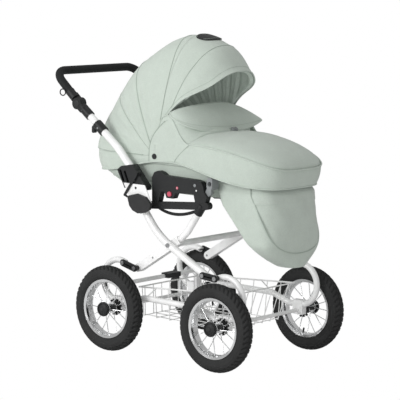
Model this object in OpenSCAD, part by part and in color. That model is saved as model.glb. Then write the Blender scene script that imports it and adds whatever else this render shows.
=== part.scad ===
// Bassinet pram: spring-hung X frame on four spoked air wheels, folding handle,
// lift-off seat unit with apron, foot boot and folding hood. Millimetres.
// X runs forward, Y to the left, Z up, ground at z = 0.

/* [Wheels] */
// Tyre outside radius
wheel_r = 160; // [120:1:200]
// Tyre width
tyre_w = 56; // [40:1:70]
// Wheelbase
wheelbase = 516; // [420:1:620]
// Distance between wheel middles across
track = 540; // [480:1:620]
// Tyre height over the rim flange
tyre_h = 50; // [36:1:60]
// Rim depth
rim_depth = 13; // [8:1:20]
// Rim width
rim_w = 42; // [30:1:56]
// Spokes per wheel
spoke_n = 16; // [12:4:24]
// Spoke radius
spoke_r = 1.5; // [1:0.1:3]
// Hub barrel radius
hub_r = 13; // [10:0.5:20]
// Hub flange radius
flange_r = 21; // [16:0.5:30]
// Brake disc radius
disc_r = 31; // [24:0.5:40]
// Brake disc notches
notch_n = 12; // [8:2:16]
// Hub cap radius
cap_r = 27; // [18:0.5:34]
// Axle radius in the wheels
axle_r = 6; // [4:0.5:10]
// Axle radius between the wheels
axle_tube_r = 7; // [5:0.5:12]
// Running clearance on shafts
run_gap = 0.05; // [0.01:0.01:0.1]

/* [Frame] */
// Frame tube radius
tube_r = 14; // [10:0.5:18]
// Spring and rail tube radius
rail_r = 11; // [8:0.5:16]
// Front legs and handle plane
outer_y = 228; // [200:1:240]
// Rear legs and seat posts plane
inner_y = 199; // [170:1:215]
// Spring and rail plane
rail_y = 217; // [190:1:225]
// Spring loop radius
spring_r = 78; // [60:1:110]
// Spring loop middle over the axle
spring_up = 98; // [80:1:130]
// Spring loop end angle
spring_end = 115; // [100:1:140]
// Side rail middle over the axle
rail_up = 48; // [30:1:70]
// Cross pivot height
pivot_z = 423; // [380:1:470]
// Leg foot inside the axle
foot_in = 88; // [60:1:110]
// Front leg foot over the axle
front_foot_up = 174; // [150:1:190]
// Rear leg foot over the axle
rear_foot_up = 156; // [140:1:180]
// Rear leg section height
leg_h = 30; // [20:1:40]
// Rear leg section width
leg_w = 28; // [16:1:30]
// Fold pivot behind the middle
fold_x = -138; // [-180:1:-100]
// Fold pivot height
fold_z = 553; // [500:1:600]
// Seat post top
post_top_x = 124; // [90:1:160]
// Seat post top height
post_top_z = 573; // [530:1:610]
// Bolt radius
bolt_r = 4; // [3:0.5:6]

/* [Handle] */
// Knuckle position along X
knuckle_x = -462; // [-520:1:-400]
// Knuckle height
knuckle_z = 906; // [820:1:980]
// Handlebar position along X
bar_x = -594; // [-640:1:-500]
// Handlebar height
bar_z = 1020; // [940:1:1090]
// Handlebar tube radius
bar_r = 11; // [9:0.5:14]
// Foam grip radius
grip_r = 16; // [14:0.5:20]
// Handlebar corner bend radius
bar_bend = 56; // [40:1:90]
// Knuckle disc radius
knuckle_r = 22; // [18:0.5:30]

/* [Brake] */
// Brake bar ahead of the rear axle
brake_in = 35; // [30:1:60]
// Brake bar over the axle
brake_up = 92; // [70:1:110]
// Brake bar radius
brake_r = 8; // [6:0.5:12]
// Brake pin radius
pin_r = 3; // [2:0.5:5]

/* [Basket] */
// Basket half width
basket_y = 172; // [140:1:180]
// Basket floor under the axle
basket_down = 32; // [10:1:60]
// Basket rim over the axle
basket_up = 76; // [40:1:100]
// Rim wire radius
wire_r = 3; // [2:0.5:5]
// Mesh wire radius
mesh_r = 1.6; // [1:0.1:3]

/* [Seat] */
// Seat outline middle along X
seat_cx = -21.6; // [-60:0.1:20]
// Seat outline half length
seat_a = 446.8; // [380:0.1:500]
// Seat outline half width
seat_b = 200; // [170:1:204]
// Cloth thickness
cloth_t = 5; // [3:0.5:8]
// Hood pivot along X
hood_x = -105; // [-140:1:-60]
// Hood pivot height
hood_z = 735; // [700:1:780]
// Hood reach at the visor
visor_reach = 398; // [340:1:440]
// Hood reach over the front bow
crown_reach = 438; // [380:1:480]
// Hood reach over the middle bow
top_reach = 442; // [380:1:480]
// Hood reach at the shoulder
shoulder_reach = 376; // [320:1:430]
// Hood reach at the back
back_reach = 338; // [300:1:400]
// Extra hood reach at the tail
tail_out = 24; // [0:1:60]
// Hood half width at the front
hood_w = 193; // [170:1:194]
// Visor angle
visor_a = 53; // [45:1:60]
// Middle bow angle
mid_a = 84; // [75:1:95]
// Rear bow angle
rear_a = 140; // [125:1:150]
// Boot bottom height
boot_z = 367; // [330:1:420]
// Boot front
boot_front = 424; // [380:1:450]
// Bumper bar socket radius
socket_r = 9; // [6:0.5:12]

/* [Hidden] */
$fn = 48;
bend_lap = 0.4;
bend_skin = 0.3;
strip_skin = 0.06;
wire_skin = 0.13;
axle_x = wheelbase / 2;
rim_r = wheel_r - tyre_h;
rim_in_r = rim_r - rim_depth;
spring_z = wheel_r + spring_up;
rail_z = wheel_r + rail_up;
foot_x = axle_x - foot_in;
front_foot_z = wheel_r + front_foot_up;
rear_foot_z = wheel_r + rear_foot_up;
brake_x = brake_in - axle_x;
brake_z = wheel_r + brake_up;
basket_z = wheel_r - basket_down;
basket_top = wheel_r + basket_up;
wheel_y = track / 2;
hub_half = 29;
disc_in = 37.5;
disc_t = 8;
hub_end = wheel_y + hub_half;
axle_end = hub_end - 1;
spring_low = spring_z - spring_r;
joint_x = axle_x - 23;
rail_flat = axle_x - 128;
link_t = 6;
link_out = outer_y + tube_r;
fit_off = 0.1;
link_in = rail_y + rail_r + fit_off;
spring_tip = [axle_x + spring_r * cos(spring_end - 2), spring_z + spring_r * sin(spring_end - 2)];
front_foot = [foot_x, front_foot_z];
rear_foot = [-foot_x, rear_foot_z];
leg_knee = [-54, 448];
leg_bend = 300;
fold_p = [fold_x, fold_z];
post_top = [post_top_x, post_top_z];
post_knee = [60, 478];
post_foot = [26, 444];
leg_top = [26, 442];
mount_front = [150, 578];
mount_r = 12;
mount_h = 13;
handle_low = [-158, 650];
handle_knee = [-262, 756];
knuckle_p = [knuckle_x, knuckle_z];
bar_p = [bar_x, bar_z];
handle_dir = atan2(knuckle_z - handle_knee[1], knuckle_x - handle_knee[0]);
low_dir = atan2(handle_knee[1] - handle_low[1], handle_knee[0] - handle_low[0]);
bar_dir = atan2(bar_z - knuckle_z, bar_x - knuckle_x);
bar_len = norm(bar_p - knuckle_p);
handle_end = [knuckle_x, knuckle_z] - 22 * [cos(handle_dir), sin(handle_dir)];
sleeve_r = 19;
hook_p = [-148, 672];
pedal_y = 31;
bearing_y = 200;
basket_front = axle_x - 42;
basket_back = 62 - axle_x;
basket_tip = axle_x + 4;
basket_tip_z = wheel_r + 108;
rim_z = 708;
rim_band = 18;
rim_drop = 26;
origin_x = (seat_cx + seat_a + bar_x - grip_r) / 2;

// Shared helpers

function heading(p, q) = atan2(q[1] - p[1], q[0] - p[0]);
function swing(a, b) = (b - a + 540) % 360 - 180;
function toward(p, q, d) = p + (q - p) * d / norm(q - p);
function cut_len(p, q, s, bend) = bend * tan(abs(swing(heading(p, q), heading(q, s))) / 2);
function sgnpow(v, e) = sign(v) * pow(abs(v), e);
function ease(v) = let (t = min(1, max(0, v))) t * t * (3 - 2 * t);

// Straight round bar between two points of the XZ plane
module rod(p, q, r) {
  translate([p[0], 0, p[1]])
    rotate([0, 90 - heading(p, q), 0])
      cylinder(h = norm(q - p), r = r);
}

// Round bar bent about a middle in the XZ plane
module bend(c, radius, a0, a1, r) {
  translate([c[0], 0, c[1]])
    rotate([90, 0, 0])
      rotate([0, 0, a0])
        rotate_extrude(angle = a1 - a0)
          translate([radius, 0])
            circle(r = r);
}

// Round bar along points of the XZ plane, corners bent; a bend laps a little over its straights
module bent_bar(pts, radius, r) {
  n = len(pts);
  cuts = [for (i = [0:n - 1]) (i == 0 || i == n - 1) ? 0 : cut_len(pts[i - 1], pts[i], pts[i + 1], radius)];
  for (i = [0:n - 2])
    rod(toward(pts[i], pts[i + 1], cuts[i]), toward(pts[i + 1], pts[i], cuts[i + 1]), r);
  for (i = [1:1:n - 2]) {
    h0 = heading(pts[i - 1], pts[i]);
    h1 = heading(pts[i], pts[i + 1]);
    t = swing(h0, h1);
    s = t > 0 ? 1 : -1;
    c = toward(pts[i], pts[i - 1], cuts[i]) + radius * s * [-sin(h0), cos(h0)];
    a0 = s > 0 ? h0 - 90 : h1 + 90;
    lap = bend_lap / radius * 57.3;
    bend(c, radius, a0 - lap, a0 + abs(t) + lap, r + bend_skin);
  }
}

// Round bar along Y
module bar_y(x, z, y0, y1, r) {
  translate([x, y0, z])
    rotate([-90, 0, 0])
      cylinder(h = y1 - y0, r = r);
}

// Flat plate drawn in XZ, from y0 to y1
module plate(y0, y1) {
  translate([0, y1, 0])
    rotate([90, 0, 0])
      linear_extrude(height = y1 - y0)
        children();
}

// Strip with round ends between two points
module strip(p, q, r) {
  translate(p)
    circle(r = r);
  translate(q)
    circle(r = r);
  translate(p)
    rotate(heading(p, q))
      translate([0, strip_skin - r])
        square([norm(q - p), 2 * (r - strip_skin)]);
}

module both() {
  children();
  mirror([0, 1, 0])
    children();
}

module four() {
  both()
    children();
  mirror([1, 0, 0])
    both()
      children();
}

// Thin closed shell between two grids of points
module shell(outer, inner) {
  n = len(outer);
  m = len(outer[0]);
  k = n * m;
  pts = concat([for (row = outer) each row], [for (row = inner) each row]);
  top = [for (i = [0:n - 2], j = [0:m - 2]) each
    [[i * m + j, i * m + j + 1, i * m + m + j + 1], [i * m + j, i * m + m + j + 1, i * m + m + j]]];
  low = [for (f = top) [f[0] + k, f[2] + k, f[1] + k]];
  e0 = [for (j = [0:m - 2]) each [[j, j + k, j + 1], [j + 1, j + k, j + 1 + k]]];
  b = (n - 1) * m;
  e1 = [for (j = [0:m - 2]) each [[b + j, b + j + 1, b + j + k], [b + j + 1, b + j + 1 + k, b + j + k]]];
  e2 = [for (i = [0:n - 2]) each [[i * m, i * m + m, i * m + k], [i * m + m, i * m + m + k, i * m + k]]];
  c = m - 1;
  e3 = [for (i = [0:n - 2]) each
    [[i * m + c, i * m + c + k, i * m + m + c], [i * m + m + c, i * m + c + k, i * m + m + c + k]]];
  polyhedron(points = pts, faces = concat(top, low, e0, e1, e2, e3), convexity = 8);
}

// Closed body through rings of points, each ring counter-clockwise from above, lowest ring first
module body(rings) {
  n = len(rings);
  m = len(rings[0]);
  pts = [for (ring = rings) each ring];
  side = [for (i = [0:n - 2], j = [0:m - 1]) let (j2 = (j + 1) % m) each
    [[i * m + j, i * m + m + j, i * m + j2], [i * m + j2, i * m + m + j, i * m + m + j2]]];
  low = [[for (j = [0:m - 1]) j]];
  top = [[for (j = [0:m - 1]) (n - 1) * m + m - 1 - j]];
  polyhedron(points = pts, faces = concat(side, low, top), convexity = 8);
}

// Oval of four-way outline
function oval(c, a, b, e, t) = [c + a * sgnpow(cos(t), e), b * sgnpow(sin(t), e)];
function ring(c, a, b, e, z, n) = [for (i = [0:n - 1])
  let (p = oval(c, a, b, e, i * 360 / n)) [p[0], p[1], z]];

// Wheels

module wheel_at(sx, sy) {
  translate([sx * axle_x, sy * wheel_y, wheel_r])
    rotate([sy > 0 ? -90 : 90, 0, 0])
      children();
}

module tyre_profile() {
  difference() {
    translate([wheel_r - tyre_w / 2, 0])
      circle(r = tyre_w / 2);
    translate([0, -tyre_w])
      square([rim_r + 0.5, 2 * tyre_w]);
  }
  translate([rim_r - 5.5, -14])
    square([14, 28]);
}

module valve(gap) {
  rotate([0, 90, 0])
    translate([0, 0, rim_in_r - 16])
      cylinder(h = rim_r - rim_in_r + 12, r = 3 + gap);
}

module tyre() {
  color("#2a2b2c") {
    rotate_extrude()
      tyre_profile();
    rotate([0, 0, 90 + 180 / spoke_n])
      valve(0);
  }
}

module spoke(i, gap) {
  s = i % 2 == 0 ? 1 : -1;
  rise = atan2(17, rim_in_r - flange_r + 8);
  rotate([0, 0, i * 360 / spoke_n])
    translate([flange_r - 4, 0, s * 18])
      rotate([0, 90 + s * rise, 0])
        cylinder(h = (rim_in_r - flange_r + 7.5) / cos(rise), r = spoke_r + gap);
}

module rim() {
  color("#c9cccd")
    difference() {
      rotate_extrude()
        polygon([[rim_in_r, -11], [rim_in_r + 4, -rim_w / 2 + 2], [rim_r, -rim_w / 2], [rim_r, -rim_w / 2 + 4],
                 [rim_r - 6, -rim_w / 2 + 6.5], [rim_r - 6, rim_w / 2 - 6.5], [rim_r, rim_w / 2 - 4],
                 [rim_r, rim_w / 2], [rim_in_r + 4, rim_w / 2 - 2], [rim_in_r, 11]]);
      for (i = [0:spoke_n - 1])
        spoke(i, run_gap);
      rotate([0, 0, 90 + 180 / spoke_n])
        valve(run_gap);
    }
}

module spokes() {
  color("#d4d6d7")
    difference() {
      union() {
        for (i = [0:spoke_n - 1])
          spoke(i, 0);
        for (s = [-1, 1])
          translate([0, 0, s * 18 - 1.5])
            cylinder(h = 3, r = flange_r);
      }
      translate([0, 0, -hub_half])
        cylinder(h = 2 * hub_half, r = hub_r);
    }
}

module notch(i) {
  rotate([0, 0, i * 360 / notch_n])
    translate([disc_r - 7, -4.5, -disc_in - 1])
      cube([12, 9, disc_t + 2]);
}

module hub() {
  color("#1d1e1f")
    difference() {
      union() {
        translate([0, 0, -hub_half])
          cylinder(h = 2 * hub_half, r = hub_r);
        difference() {
          translate([0, 0, -disc_in])
            cylinder(h = disc_t, r = disc_r);
          for (i = [0:notch_n - 1])
            notch(i);
        }
        translate([0, 0, -disc_in + disc_t - 1])
          cylinder(h = disc_in - disc_t - hub_half + 2, r = hub_r);
        translate([0, 0, hub_half])
          cylinder(h = 5, r = cap_r);
        translate([0, 0, hub_half + 5])
          intersection() {
            translate([0, 0, -52])
              sphere(r = norm([cap_r, 52]));
            cylinder(h = 8, r = cap_r);
          }
      }
      translate([0, 0, -disc_in - 1])
        cylinder(h = disc_in + hub_half + 1, r = axle_r + run_gap);
    }
}

// Chassis

module axles() {
  color("#e9e9e6")
    for (s = [-1, 1]) {
      bar_y(s * axle_x, wheel_r, -axle_end, axle_end, axle_r);
      bar_y(s * axle_x, wheel_r, -rail_y - 14, rail_y + 14, axle_tube_r);
    }
}

module c_spring_path(r) {
  bend([axle_x, spring_z], spring_r, -90 - bend_lap / spring_r * 57.3, spring_end, r + bend_skin);
  rod([joint_x, spring_low], [axle_x, spring_low], r);
}

module c_springs() {
  color("#f1f1ee")
    four()
      translate([0, rail_y, 0])
        difference() {
          c_spring_path(rail_r);
          bar_y(spring_tip[0], spring_tip[1], -20, 20, bolt_r);
        }
}

module side_rails() {
  color("#f1f1ee")
    for (s = [-1, 1])
      translate([0, s * rail_y, 0])
        bent_bar([[-joint_x, spring_low], [-joint_x + 24, spring_low], [-rail_flat, rail_z], [rail_flat, rail_z],
                  [joint_x - 24, spring_low], [joint_x, spring_low]], 60, rail_r);
}

module axle_brackets() {
  color("#ececea")
    four()
      translate([0, rail_y, 0])
        difference() {
          translate([axle_x - 22, -13, wheel_r - 16])
            cube([44, 26, 54]);
          c_spring_path(rail_r);
          bar_y(axle_x, wheel_r, -20, 20, axle_tube_r);
        }
}

module spring_links() {
  color("#1c1d1f")
    both() {
      difference() {
        union() {
          plate(link_out, link_out + link_t)
            strip(front_foot, spring_tip, 13);
          bar_y(spring_tip[0], spring_tip[1], link_in, link_out + 1, 9);
        }
        for (p = [front_foot, spring_tip])
          bar_y(p[0], p[1], rail_y, link_out + link_t + 1, bolt_r);
      }
      mirror([1, 0, 0])
        difference() {
          union() {
            plate(link_in, link_in + link_t)
              strip([foot_x, rear_foot_z], spring_tip, 13);
            bar_y(foot_x, rear_foot_z, inner_y + leg_w / 2, link_in + 1, 9);
          }
          for (p = [[foot_x, rear_foot_z], spring_tip])
            bar_y(p[0], p[1], inner_y, link_in + link_t + 1, bolt_r);
        }
    }
}

module bolt(x, z, y0, y1) {
  bar_y(x, z, y0, y1, bolt_r);
  bar_y(x, z, y1, y1 + 3, bolt_r + 4);
}

module frame_bolts() {
  color("#8d9091")
    both() {
      bolt(front_foot[0], front_foot[1], outer_y - tube_r - 1, link_out + link_t);
      bolt(spring_tip[0], spring_tip[1], rail_y - rail_r - 1, link_out + link_t);
      bolt(rear_foot[0], rear_foot[1], inner_y - leg_w / 2 - 1, link_in + link_t);
      bolt(-spring_tip[0], spring_tip[1], rail_y - rail_r - 1, link_in + link_t);
      bolt(0, pivot_z, inner_y - leg_w / 2 - 6, link_out);
      bolt(fold_x, fold_z, inner_y - mount_r - 1, link_out + 5);
    }
}

module front_legs() {
  color("#f1f1ee")
    both()
      translate([0, outer_y, 0])
        difference() {
          union() {
            bent_bar([toward(fold_p, leg_knee, -12), leg_knee, toward(front_foot, leg_knee, -12)],
                     leg_bend, tube_r);
          }
          bar_y(front_foot[0], front_foot[1], -20, 20, bolt_r);
          bar_y(0, pivot_z, -20, 20, bolt_r);
          bar_y(fold_x, fold_z, -20, 20, bolt_r);
        }
}

module rear_legs() {
  color("#f1f1ee")
    both()
      difference() {
        plate(inner_y - leg_w / 2, inner_y + leg_w / 2) {
          translate(rear_foot)
            circle(r = leg_h / 2);
          translate(rear_foot)
            rotate(heading(rear_foot, leg_top))
              translate([0, -leg_h / 2])
                square([norm(leg_top - rear_foot), leg_h]);
        }
        bar_y(rear_foot[0], rear_foot[1], inner_y - 20, inner_y + 20, bolt_r);
        bar_y(0, pivot_z, inner_y - 20, inner_y + 20, bolt_r);
        translate([0, inner_y, 0])
          post_bar();
      }
}

module post_bar() {
  bent_bar([post_foot, post_knee, post_top], 60, tube_r - 1);
}

module seat_posts() {
  color("#f1f1ee")
    both()
      translate([0, inner_y, 0])
        post_bar();
}

module cross_tube() {
  color("#f1f1ee")
    difference() {
      bar_y(0, pivot_z, -inner_y + leg_w / 2, inner_y - leg_w / 2, rail_r);
      both()
        bar_y(0, pivot_z, inner_y - leg_w / 2 - 6, inner_y, bolt_r);
    }
}

module seat_mounts() {
  color("#1c1d1f")
    both()
      difference() {
        union() {
          plate(inner_y - mount_r, inner_y + mount_r)
            strip(fold_p, mount_front, mount_h);
          translate([0, inner_y, 0])
            rod(toward(post_top, post_knee, 34), toward(post_top, post_knee, -6), tube_r + 2);
        }
        translate([0, inner_y, 0])
          post_bar();
        bar_y(fold_x, fold_z, inner_y - 20, inner_y + 20, bolt_r);
      }
}

module brake_bearings() {
  color("#ececea")
    both()
      difference() {
        plate(bearing_y, rail_y - rail_r - fit_off)
          strip([brake_x, brake_z], [brake_x, spring_low], 12.5);
        bar_y(brake_x, brake_z, bearing_y - 1, rail_y, brake_r - 2 + run_gap);
      }
}

module brake_bar() {
  color("#f1f1ee") {
    bar_y(brake_x, brake_z, -bearing_y + 0.5, bearing_y - 0.5, brake_r);
    bar_y(brake_x, brake_z, -rail_y + rail_r, rail_y - rail_r, brake_r - 2);
    both() {
      plate(basket_y + 10, basket_y + 18)
        strip([brake_x, brake_z], [brake_x, wheel_r], 7);
      bar_y(brake_x, wheel_r, basket_y + 10, wheel_y - disc_in + disc_t - 1, pin_r);
    }
  }
}

module brake_pedal() {
  color("#1c1d1f")
    difference() {
      translate([brake_x - 12, pedal_y - 36, brake_z - 6])
        cube([36, 72, 18]);
      bar_y(brake_x, brake_z, pedal_y - 40, pedal_y + 40, brake_r);
    }
}

// Wire bar between two points in space
module wire(p, q, r) {
  d = q - p;
  u = d / norm(d);
  translate(p - r * u)
    rotate([0, acos(u[2]), atan2(u[1], u[0])])
      cylinder(h = norm(d) + 2 * r, r = r, $fn = 8);
}

module wire_run(pts, r) {
  for (i = [0:len(pts) - 2])
    wire(pts[i], pts[i + 1], r - i % 2 * wire_skin);
}

function rim_h(x) = basket_top + (basket_tip_z - basket_top) * (x - basket_back) / (basket_tip - basket_back);

module wire_basket() {
  color("#eeeeec") {
    wire_run([[basket_back, -basket_y, basket_top], [basket_tip, -basket_y, basket_tip_z],
              [basket_tip, basket_y, basket_tip_z], [basket_back, basket_y, basket_top],
              [basket_back, -basket_y, basket_top]], wire_r);
    for (i = [0:6]) {
      x = basket_back + 13.1 + i * (basket_front - basket_back - 25.7) / 6;
      wire_run([[x, -basket_y, rim_h(x)], [x, -basket_y + 12, basket_z], [x, basket_y - 12, basket_z],
                [x, basket_y, rim_h(x)]], mesh_r);
    }
    for (i = [0:6]) {
      y = -basket_y + 30 + i * (basket_y - 30) / 3;
      wire_run([[basket_back, y, basket_top], [basket_back + 4, y, basket_z], [basket_front, y, basket_z],
                [basket_tip, y, basket_tip_z]], mesh_r + 0.7 * wire_skin);
    }
    both()
      for (x = [-110, 110])
        wire_run([[x, basket_y, rim_h(x)], [x, rail_y, rail_z + rail_r + mesh_r + 0.6]], mesh_r + 0.6);
  }
}

// Handle

module hinge_plates() {
  color("#f1f1ee")
    both()
      difference() {
        plate(link_out + 0.5, link_out + 4.5)
          polygon([[-216, 632], [-112, 632], [-78, 570], [-98, 540], [-128, 524], [-160, 540]]);
        bar_y(fold_x, fold_z, outer_y, link_out + 10, bolt_r + run_gap);
      }
}

module hinge_covers() {
  color("#1b1c1e")
    both()
      difference() {
        plate(link_out + 4.5, link_out + 16)
          polygon([[-187, 586], [-142, 599], [-98, 590], [-72, 566], [-78, 546], [-104, 532], [-134, 527],
                   [-160, 536], [-176, 552]]);
        bar_y(fold_x, fold_z, outer_y, link_out + 9, bolt_r + 5);
      }
}

module handle_path(r, end) {
  bent_bar([handle_low, handle_knee, end], 300, r);
}

module handle_tubes() {
  color("#f1f1ee")
    both()
      translate([0, outer_y, 0])
        handle_path(tube_r, handle_end);
}

module hub_sleeves() {
  color("#1c1d1f")
    both()
      difference() {
        union() {
          plate(outer_y - 16, link_out + 0.5)
            polygon([[-252, 677], [-232, 692], [-178, 702], [-108, 626], [-112, 612], [-214, 612]]);
          plate(outer_y + 4, link_out + 0.5)
            strip([-168, 652], hook_p, 9);
          bar_y(hook_p[0], hook_p[1], link_out - 4, link_out + 10, bolt_r);
        }
        translate([0, outer_y, 0])
          handle_path(tube_r, handle_end);
        for (p = [[-236, 674], [-214, 672]])
          plate(outer_y - 20, link_out + 4)
            strip(p, p + [16, -34], 5);
      }
}

module latch() {
  u = [cos(handle_dir), sin(handle_dir)];
  n = [-sin(handle_dir), cos(handle_dir)];
  p = toward(handle_knee, knuckle_p, 88);
  translate([0, outer_y, 0])
    difference() {
      union() {
        rod(p, p + 46 * u, sleeve_r);
        plate(-7, 7)
          strip(p + 36 * u + 8 * n, p + 48 * u + 20 * n, 7);
        plate(-7, 7)
          strip(p + 48 * u + 20 * n, p + 40 * u + 31 * n, 7);
      }
      rod(p - 5 * u, p + 70 * u, tube_r + run_gap);
    }
}

module latch_left() {
  color("#1c1d1f")
    latch();
}

module latch_right() {
  color("#1c1d1f")
    mirror([0, 1, 0])
      latch();
}

module hook() {
  difference() {
    plate(link_out + 5, link_out + 9) {
      strip(hook_p, [-206, 588], 5);
      strip([-206, 588], [-195, 583], 3.5);
    }
    bar_y(hook_p[0], hook_p[1], link_out, link_out + 12, bolt_r + run_gap);
  }
}

module hook_left() {
  color("#2a2c2e")
    hook();
}

module hook_right() {
  color("#2a2c2e")
    mirror([0, 1, 0])
      hook();
}

module knuckle_sockets() {
  u = [cos(handle_dir), sin(handle_dir)];
  color("#1c1d1f")
    both()
      difference() {
        union() {
          translate([0, outer_y, 0])
            rod(handle_end - 52 * u, handle_end, tube_r + 4);
          bar_y(knuckle_x, knuckle_z, outer_y + 1, outer_y + 16, knuckle_r);
          plate(outer_y + 1, outer_y + 16)
            strip(knuckle_p, handle_end - 10 * u, 14);
          bar_y(knuckle_x, knuckle_z, outer_y - 17, outer_y + 2, 6);
        }
        translate([0, outer_y, 0])
          handle_path(tube_r, handle_end);
      }
}

// Handlebar drawn flat: X along the arm, Y across
module bar_frame() {
  translate([knuckle_x, 0, knuckle_z])
    rotate([0, -bar_dir, 0])
      children();
}

module flat_path(start, r) {
  rotate([-90, 0, 0])
    bent_bar([[start, outer_y], [bar_len, outer_y], [bar_len, -outer_y], [start, -outer_y]], bar_bend, r);
}

module handlebar() {
  color("#222426")
    difference() {
      union() {
        bar_frame()
          flat_path(30, bar_r);
        both() {
          bar_y(knuckle_x, knuckle_z, outer_y - 16, outer_y, knuckle_r);
          plate(outer_y - 16, outer_y)
            strip(knuckle_p, toward(knuckle_p, bar_p, 40), 13);
          bar_frame()
            translate([27, outer_y, 0])
              rotate([0, 90, 0])
                cylinder(h = 33, r = tube_r + 3);
        }
      }
      both()
        bar_y(knuckle_x, knuckle_z, outer_y - 20, outer_y + 20, 6 + run_gap);
      both()
        bar_y(knuckle_x, knuckle_z, outer_y, outer_y + 20, knuckle_r + 1.5);
    }
}

module handle_grip() {
  color("#1e2021")
    bar_frame()
      difference() {
        flat_path(60, grip_r);
        flat_path(50, bar_r);
      }
}

// Seat unit

function hem(x) = 652 + 68 * exp(-pow((x + 45) / 240, 2));
function seam(x) = x < 60 ? 792 : 792 - 0.00055 * pow(x - 60, 2);
function wing_rise(x, y) = y < 0 ? 88 * ease((55 - x) / 105) :
  (95 - 0.26 * max(0, x + 25)) * ease((112 - x) / 50);
function wing(x, y) = seam(x) + wing_rise(x, y) * ease((x + 104) / 50 + 0.25);
function around(x) = acos(sgnpow((x - seat_cx) / seat_a, 2));
function taper(z) = 1 - 0.05 * pow(max(0, hood_z - z) / 95, 2);

// Point of the seat's outline drawn in by d, at height z
function skin(t, z, d) = let (k = taper(z), p = oval(seat_cx, (seat_a - d) * k, (seat_b - d) * k, 0.5, t))
  [p[0], p[1], z];

// Cloth strip along the outline from t0 to t1, from height lo(x) to hi(x)
function strip_grid(t0, t1, n, m, d, wings) = [for (i = [0:n])
  let (t = t0 + (t1 - t0) * i / n, x = oval(seat_cx, seat_a, seat_b, 0.5, t)[0])
  [for (j = [0:m]) skin(t, hem(x) + ((wings ? wing(x, sin(t)) : hood_z - 0.3) - hem(x)) * j / m, d)]];

module seat_cover() {
  t = around(hood_x - 9);
  color("#b7c4b8")
    shell(strip_grid(t, 360 - t, 40, 4, 0, false), strip_grid(t, 360 - t, 40, 4, cloth_t, false));
}

module apron_band() {
  t = around(hood_x + 9);
  color("#bccabd")
    shell(strip_grid(-t, t, 56, 6, 0, true), strip_grid(-t, t, 56, 6, cloth_t, true));
}

// Lid over the front half, drawn on a square grid squeezed into the outline
function lid_plan(u, v, d) = let (
    a = seat_a - cloth_t - 2.8 - d, b = seat_b - cloth_t - 1.6 - d,
    rear = 94 - (v < 0 ? 40 : 86) * v * v,
    su = pow(max(0, 1 - pow(abs(v), 4) / 2), 0.25),
    k0 = (rear - seat_cx) / (a * su),
    k = k0 + (1 - k0) * u,
    sv = pow(max(0, 1 - pow(k, 4) / 2), 0.25))
  [seat_cx + a * k * su, b * v * sv];
function lid_rise(x) = 50 - 4 * ease((180 - x) / 80);
function lid_z(u, v) = let (p = lid_plan(u, v, 0))
  seam(p[0]) - 4 + lid_rise(p[0]) * pow(max(0, 1 - pow(abs(v), 2.4)), 0.7) * pow(max(0, 1 - pow(u, 6)), 0.6);
function lid_grid(n, m, d) = [for (i = [0:n]) [for (j = [0:m])
  let (u = i / n, v = -1 + 2 * j / m, p = lid_plan(u, v, d)) [p[0], p[1], lid_z(u, v) - d]]];

module apron_top() {
  color("#bccabd")
    shell(lid_grid(16, 20, 0), lid_grid(16, 20, cloth_t));
}

// Wind flap standing on the lid's rear edge and the tops of the band, leaning back
flap_foot_p = [92, 834.1];
flap_tip_p = [22, 939.9];
function flap_x(s) = s < 0 ? -37 : 60;
function flap_z(s) = wing(flap_x(s) - 4, s) + 5;
function flap_foot(s, c) = let (x = flap_x(s), z = flap_z(s),
    k = s < 0 ? pow(c, 0.4) : c, h = s < 0 ? pow(c, 0.3) : c)
  [x + (flap_foot_p[0] - x) * k, 199 * s, z + (flap_foot_p[1] - z) * h];
function flap_tip(s, c) = let (x = flap_x(s), z = flap_z(s) + 3,
    k = s < 0 ? pow(c, 0.5) : c, h = s < 0 ? pow(c, 0.45) : c)
  [x + (flap_tip_p[0] - x) * k, 199 * s, z + (flap_tip_p[1] - z) * h];
function flap_point(s, w, d) = let (c = max(0, 1 - s * s), f = flap_foot(s, c), g = flap_tip(s, c))
  f + w * (g - f) + (10 * c * sin(180 * w) - d) * [0.82, 0, 0.57];
function flap_grid(n, m, d) = [for (i = [0:n]) [for (j = [0:m]) flap_point(sin(180 * i / n - 90), j / m, d)]];

module apron_flap() {
  color("#c2cec2")
    shell(flap_grid(28, 6, 0), flap_grid(28, 6, cloth_t));
}

// Foot boot: a bag open at the top, hung under the seat's rim band
boot_top = rim_z - rim_drop - 0.4;
function boot_ring(z, d) = let (
    back = z > 600 ? 226 - max(0, 635 - z) * 0.72 : 199 + (560 - z) * 0.76,
    tuck = ease((z - 625) / 29),
    collar = ease((z - 656) / (boot_top - 656)),
    front = boot_front - (z > 470 ? 22 * pow((z - 470) / 185, 2) : 0) - 10 * tuck + 25 * collar,
    low = max(0, (455 - z) / (455 - boot_z)),
    b = (162 - 12 * tuck - 25 * collar) * (1 - 0.7 * pow(low, 1.7)),
    r = min(front - 9, back - 8 * low * low))
  [for (i = [0:35]) let (p = oval((front + r) / 2, (front - r) / 2 - d, b - d, 0.55, i * 10)) [p[0], p[1], z]];

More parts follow.
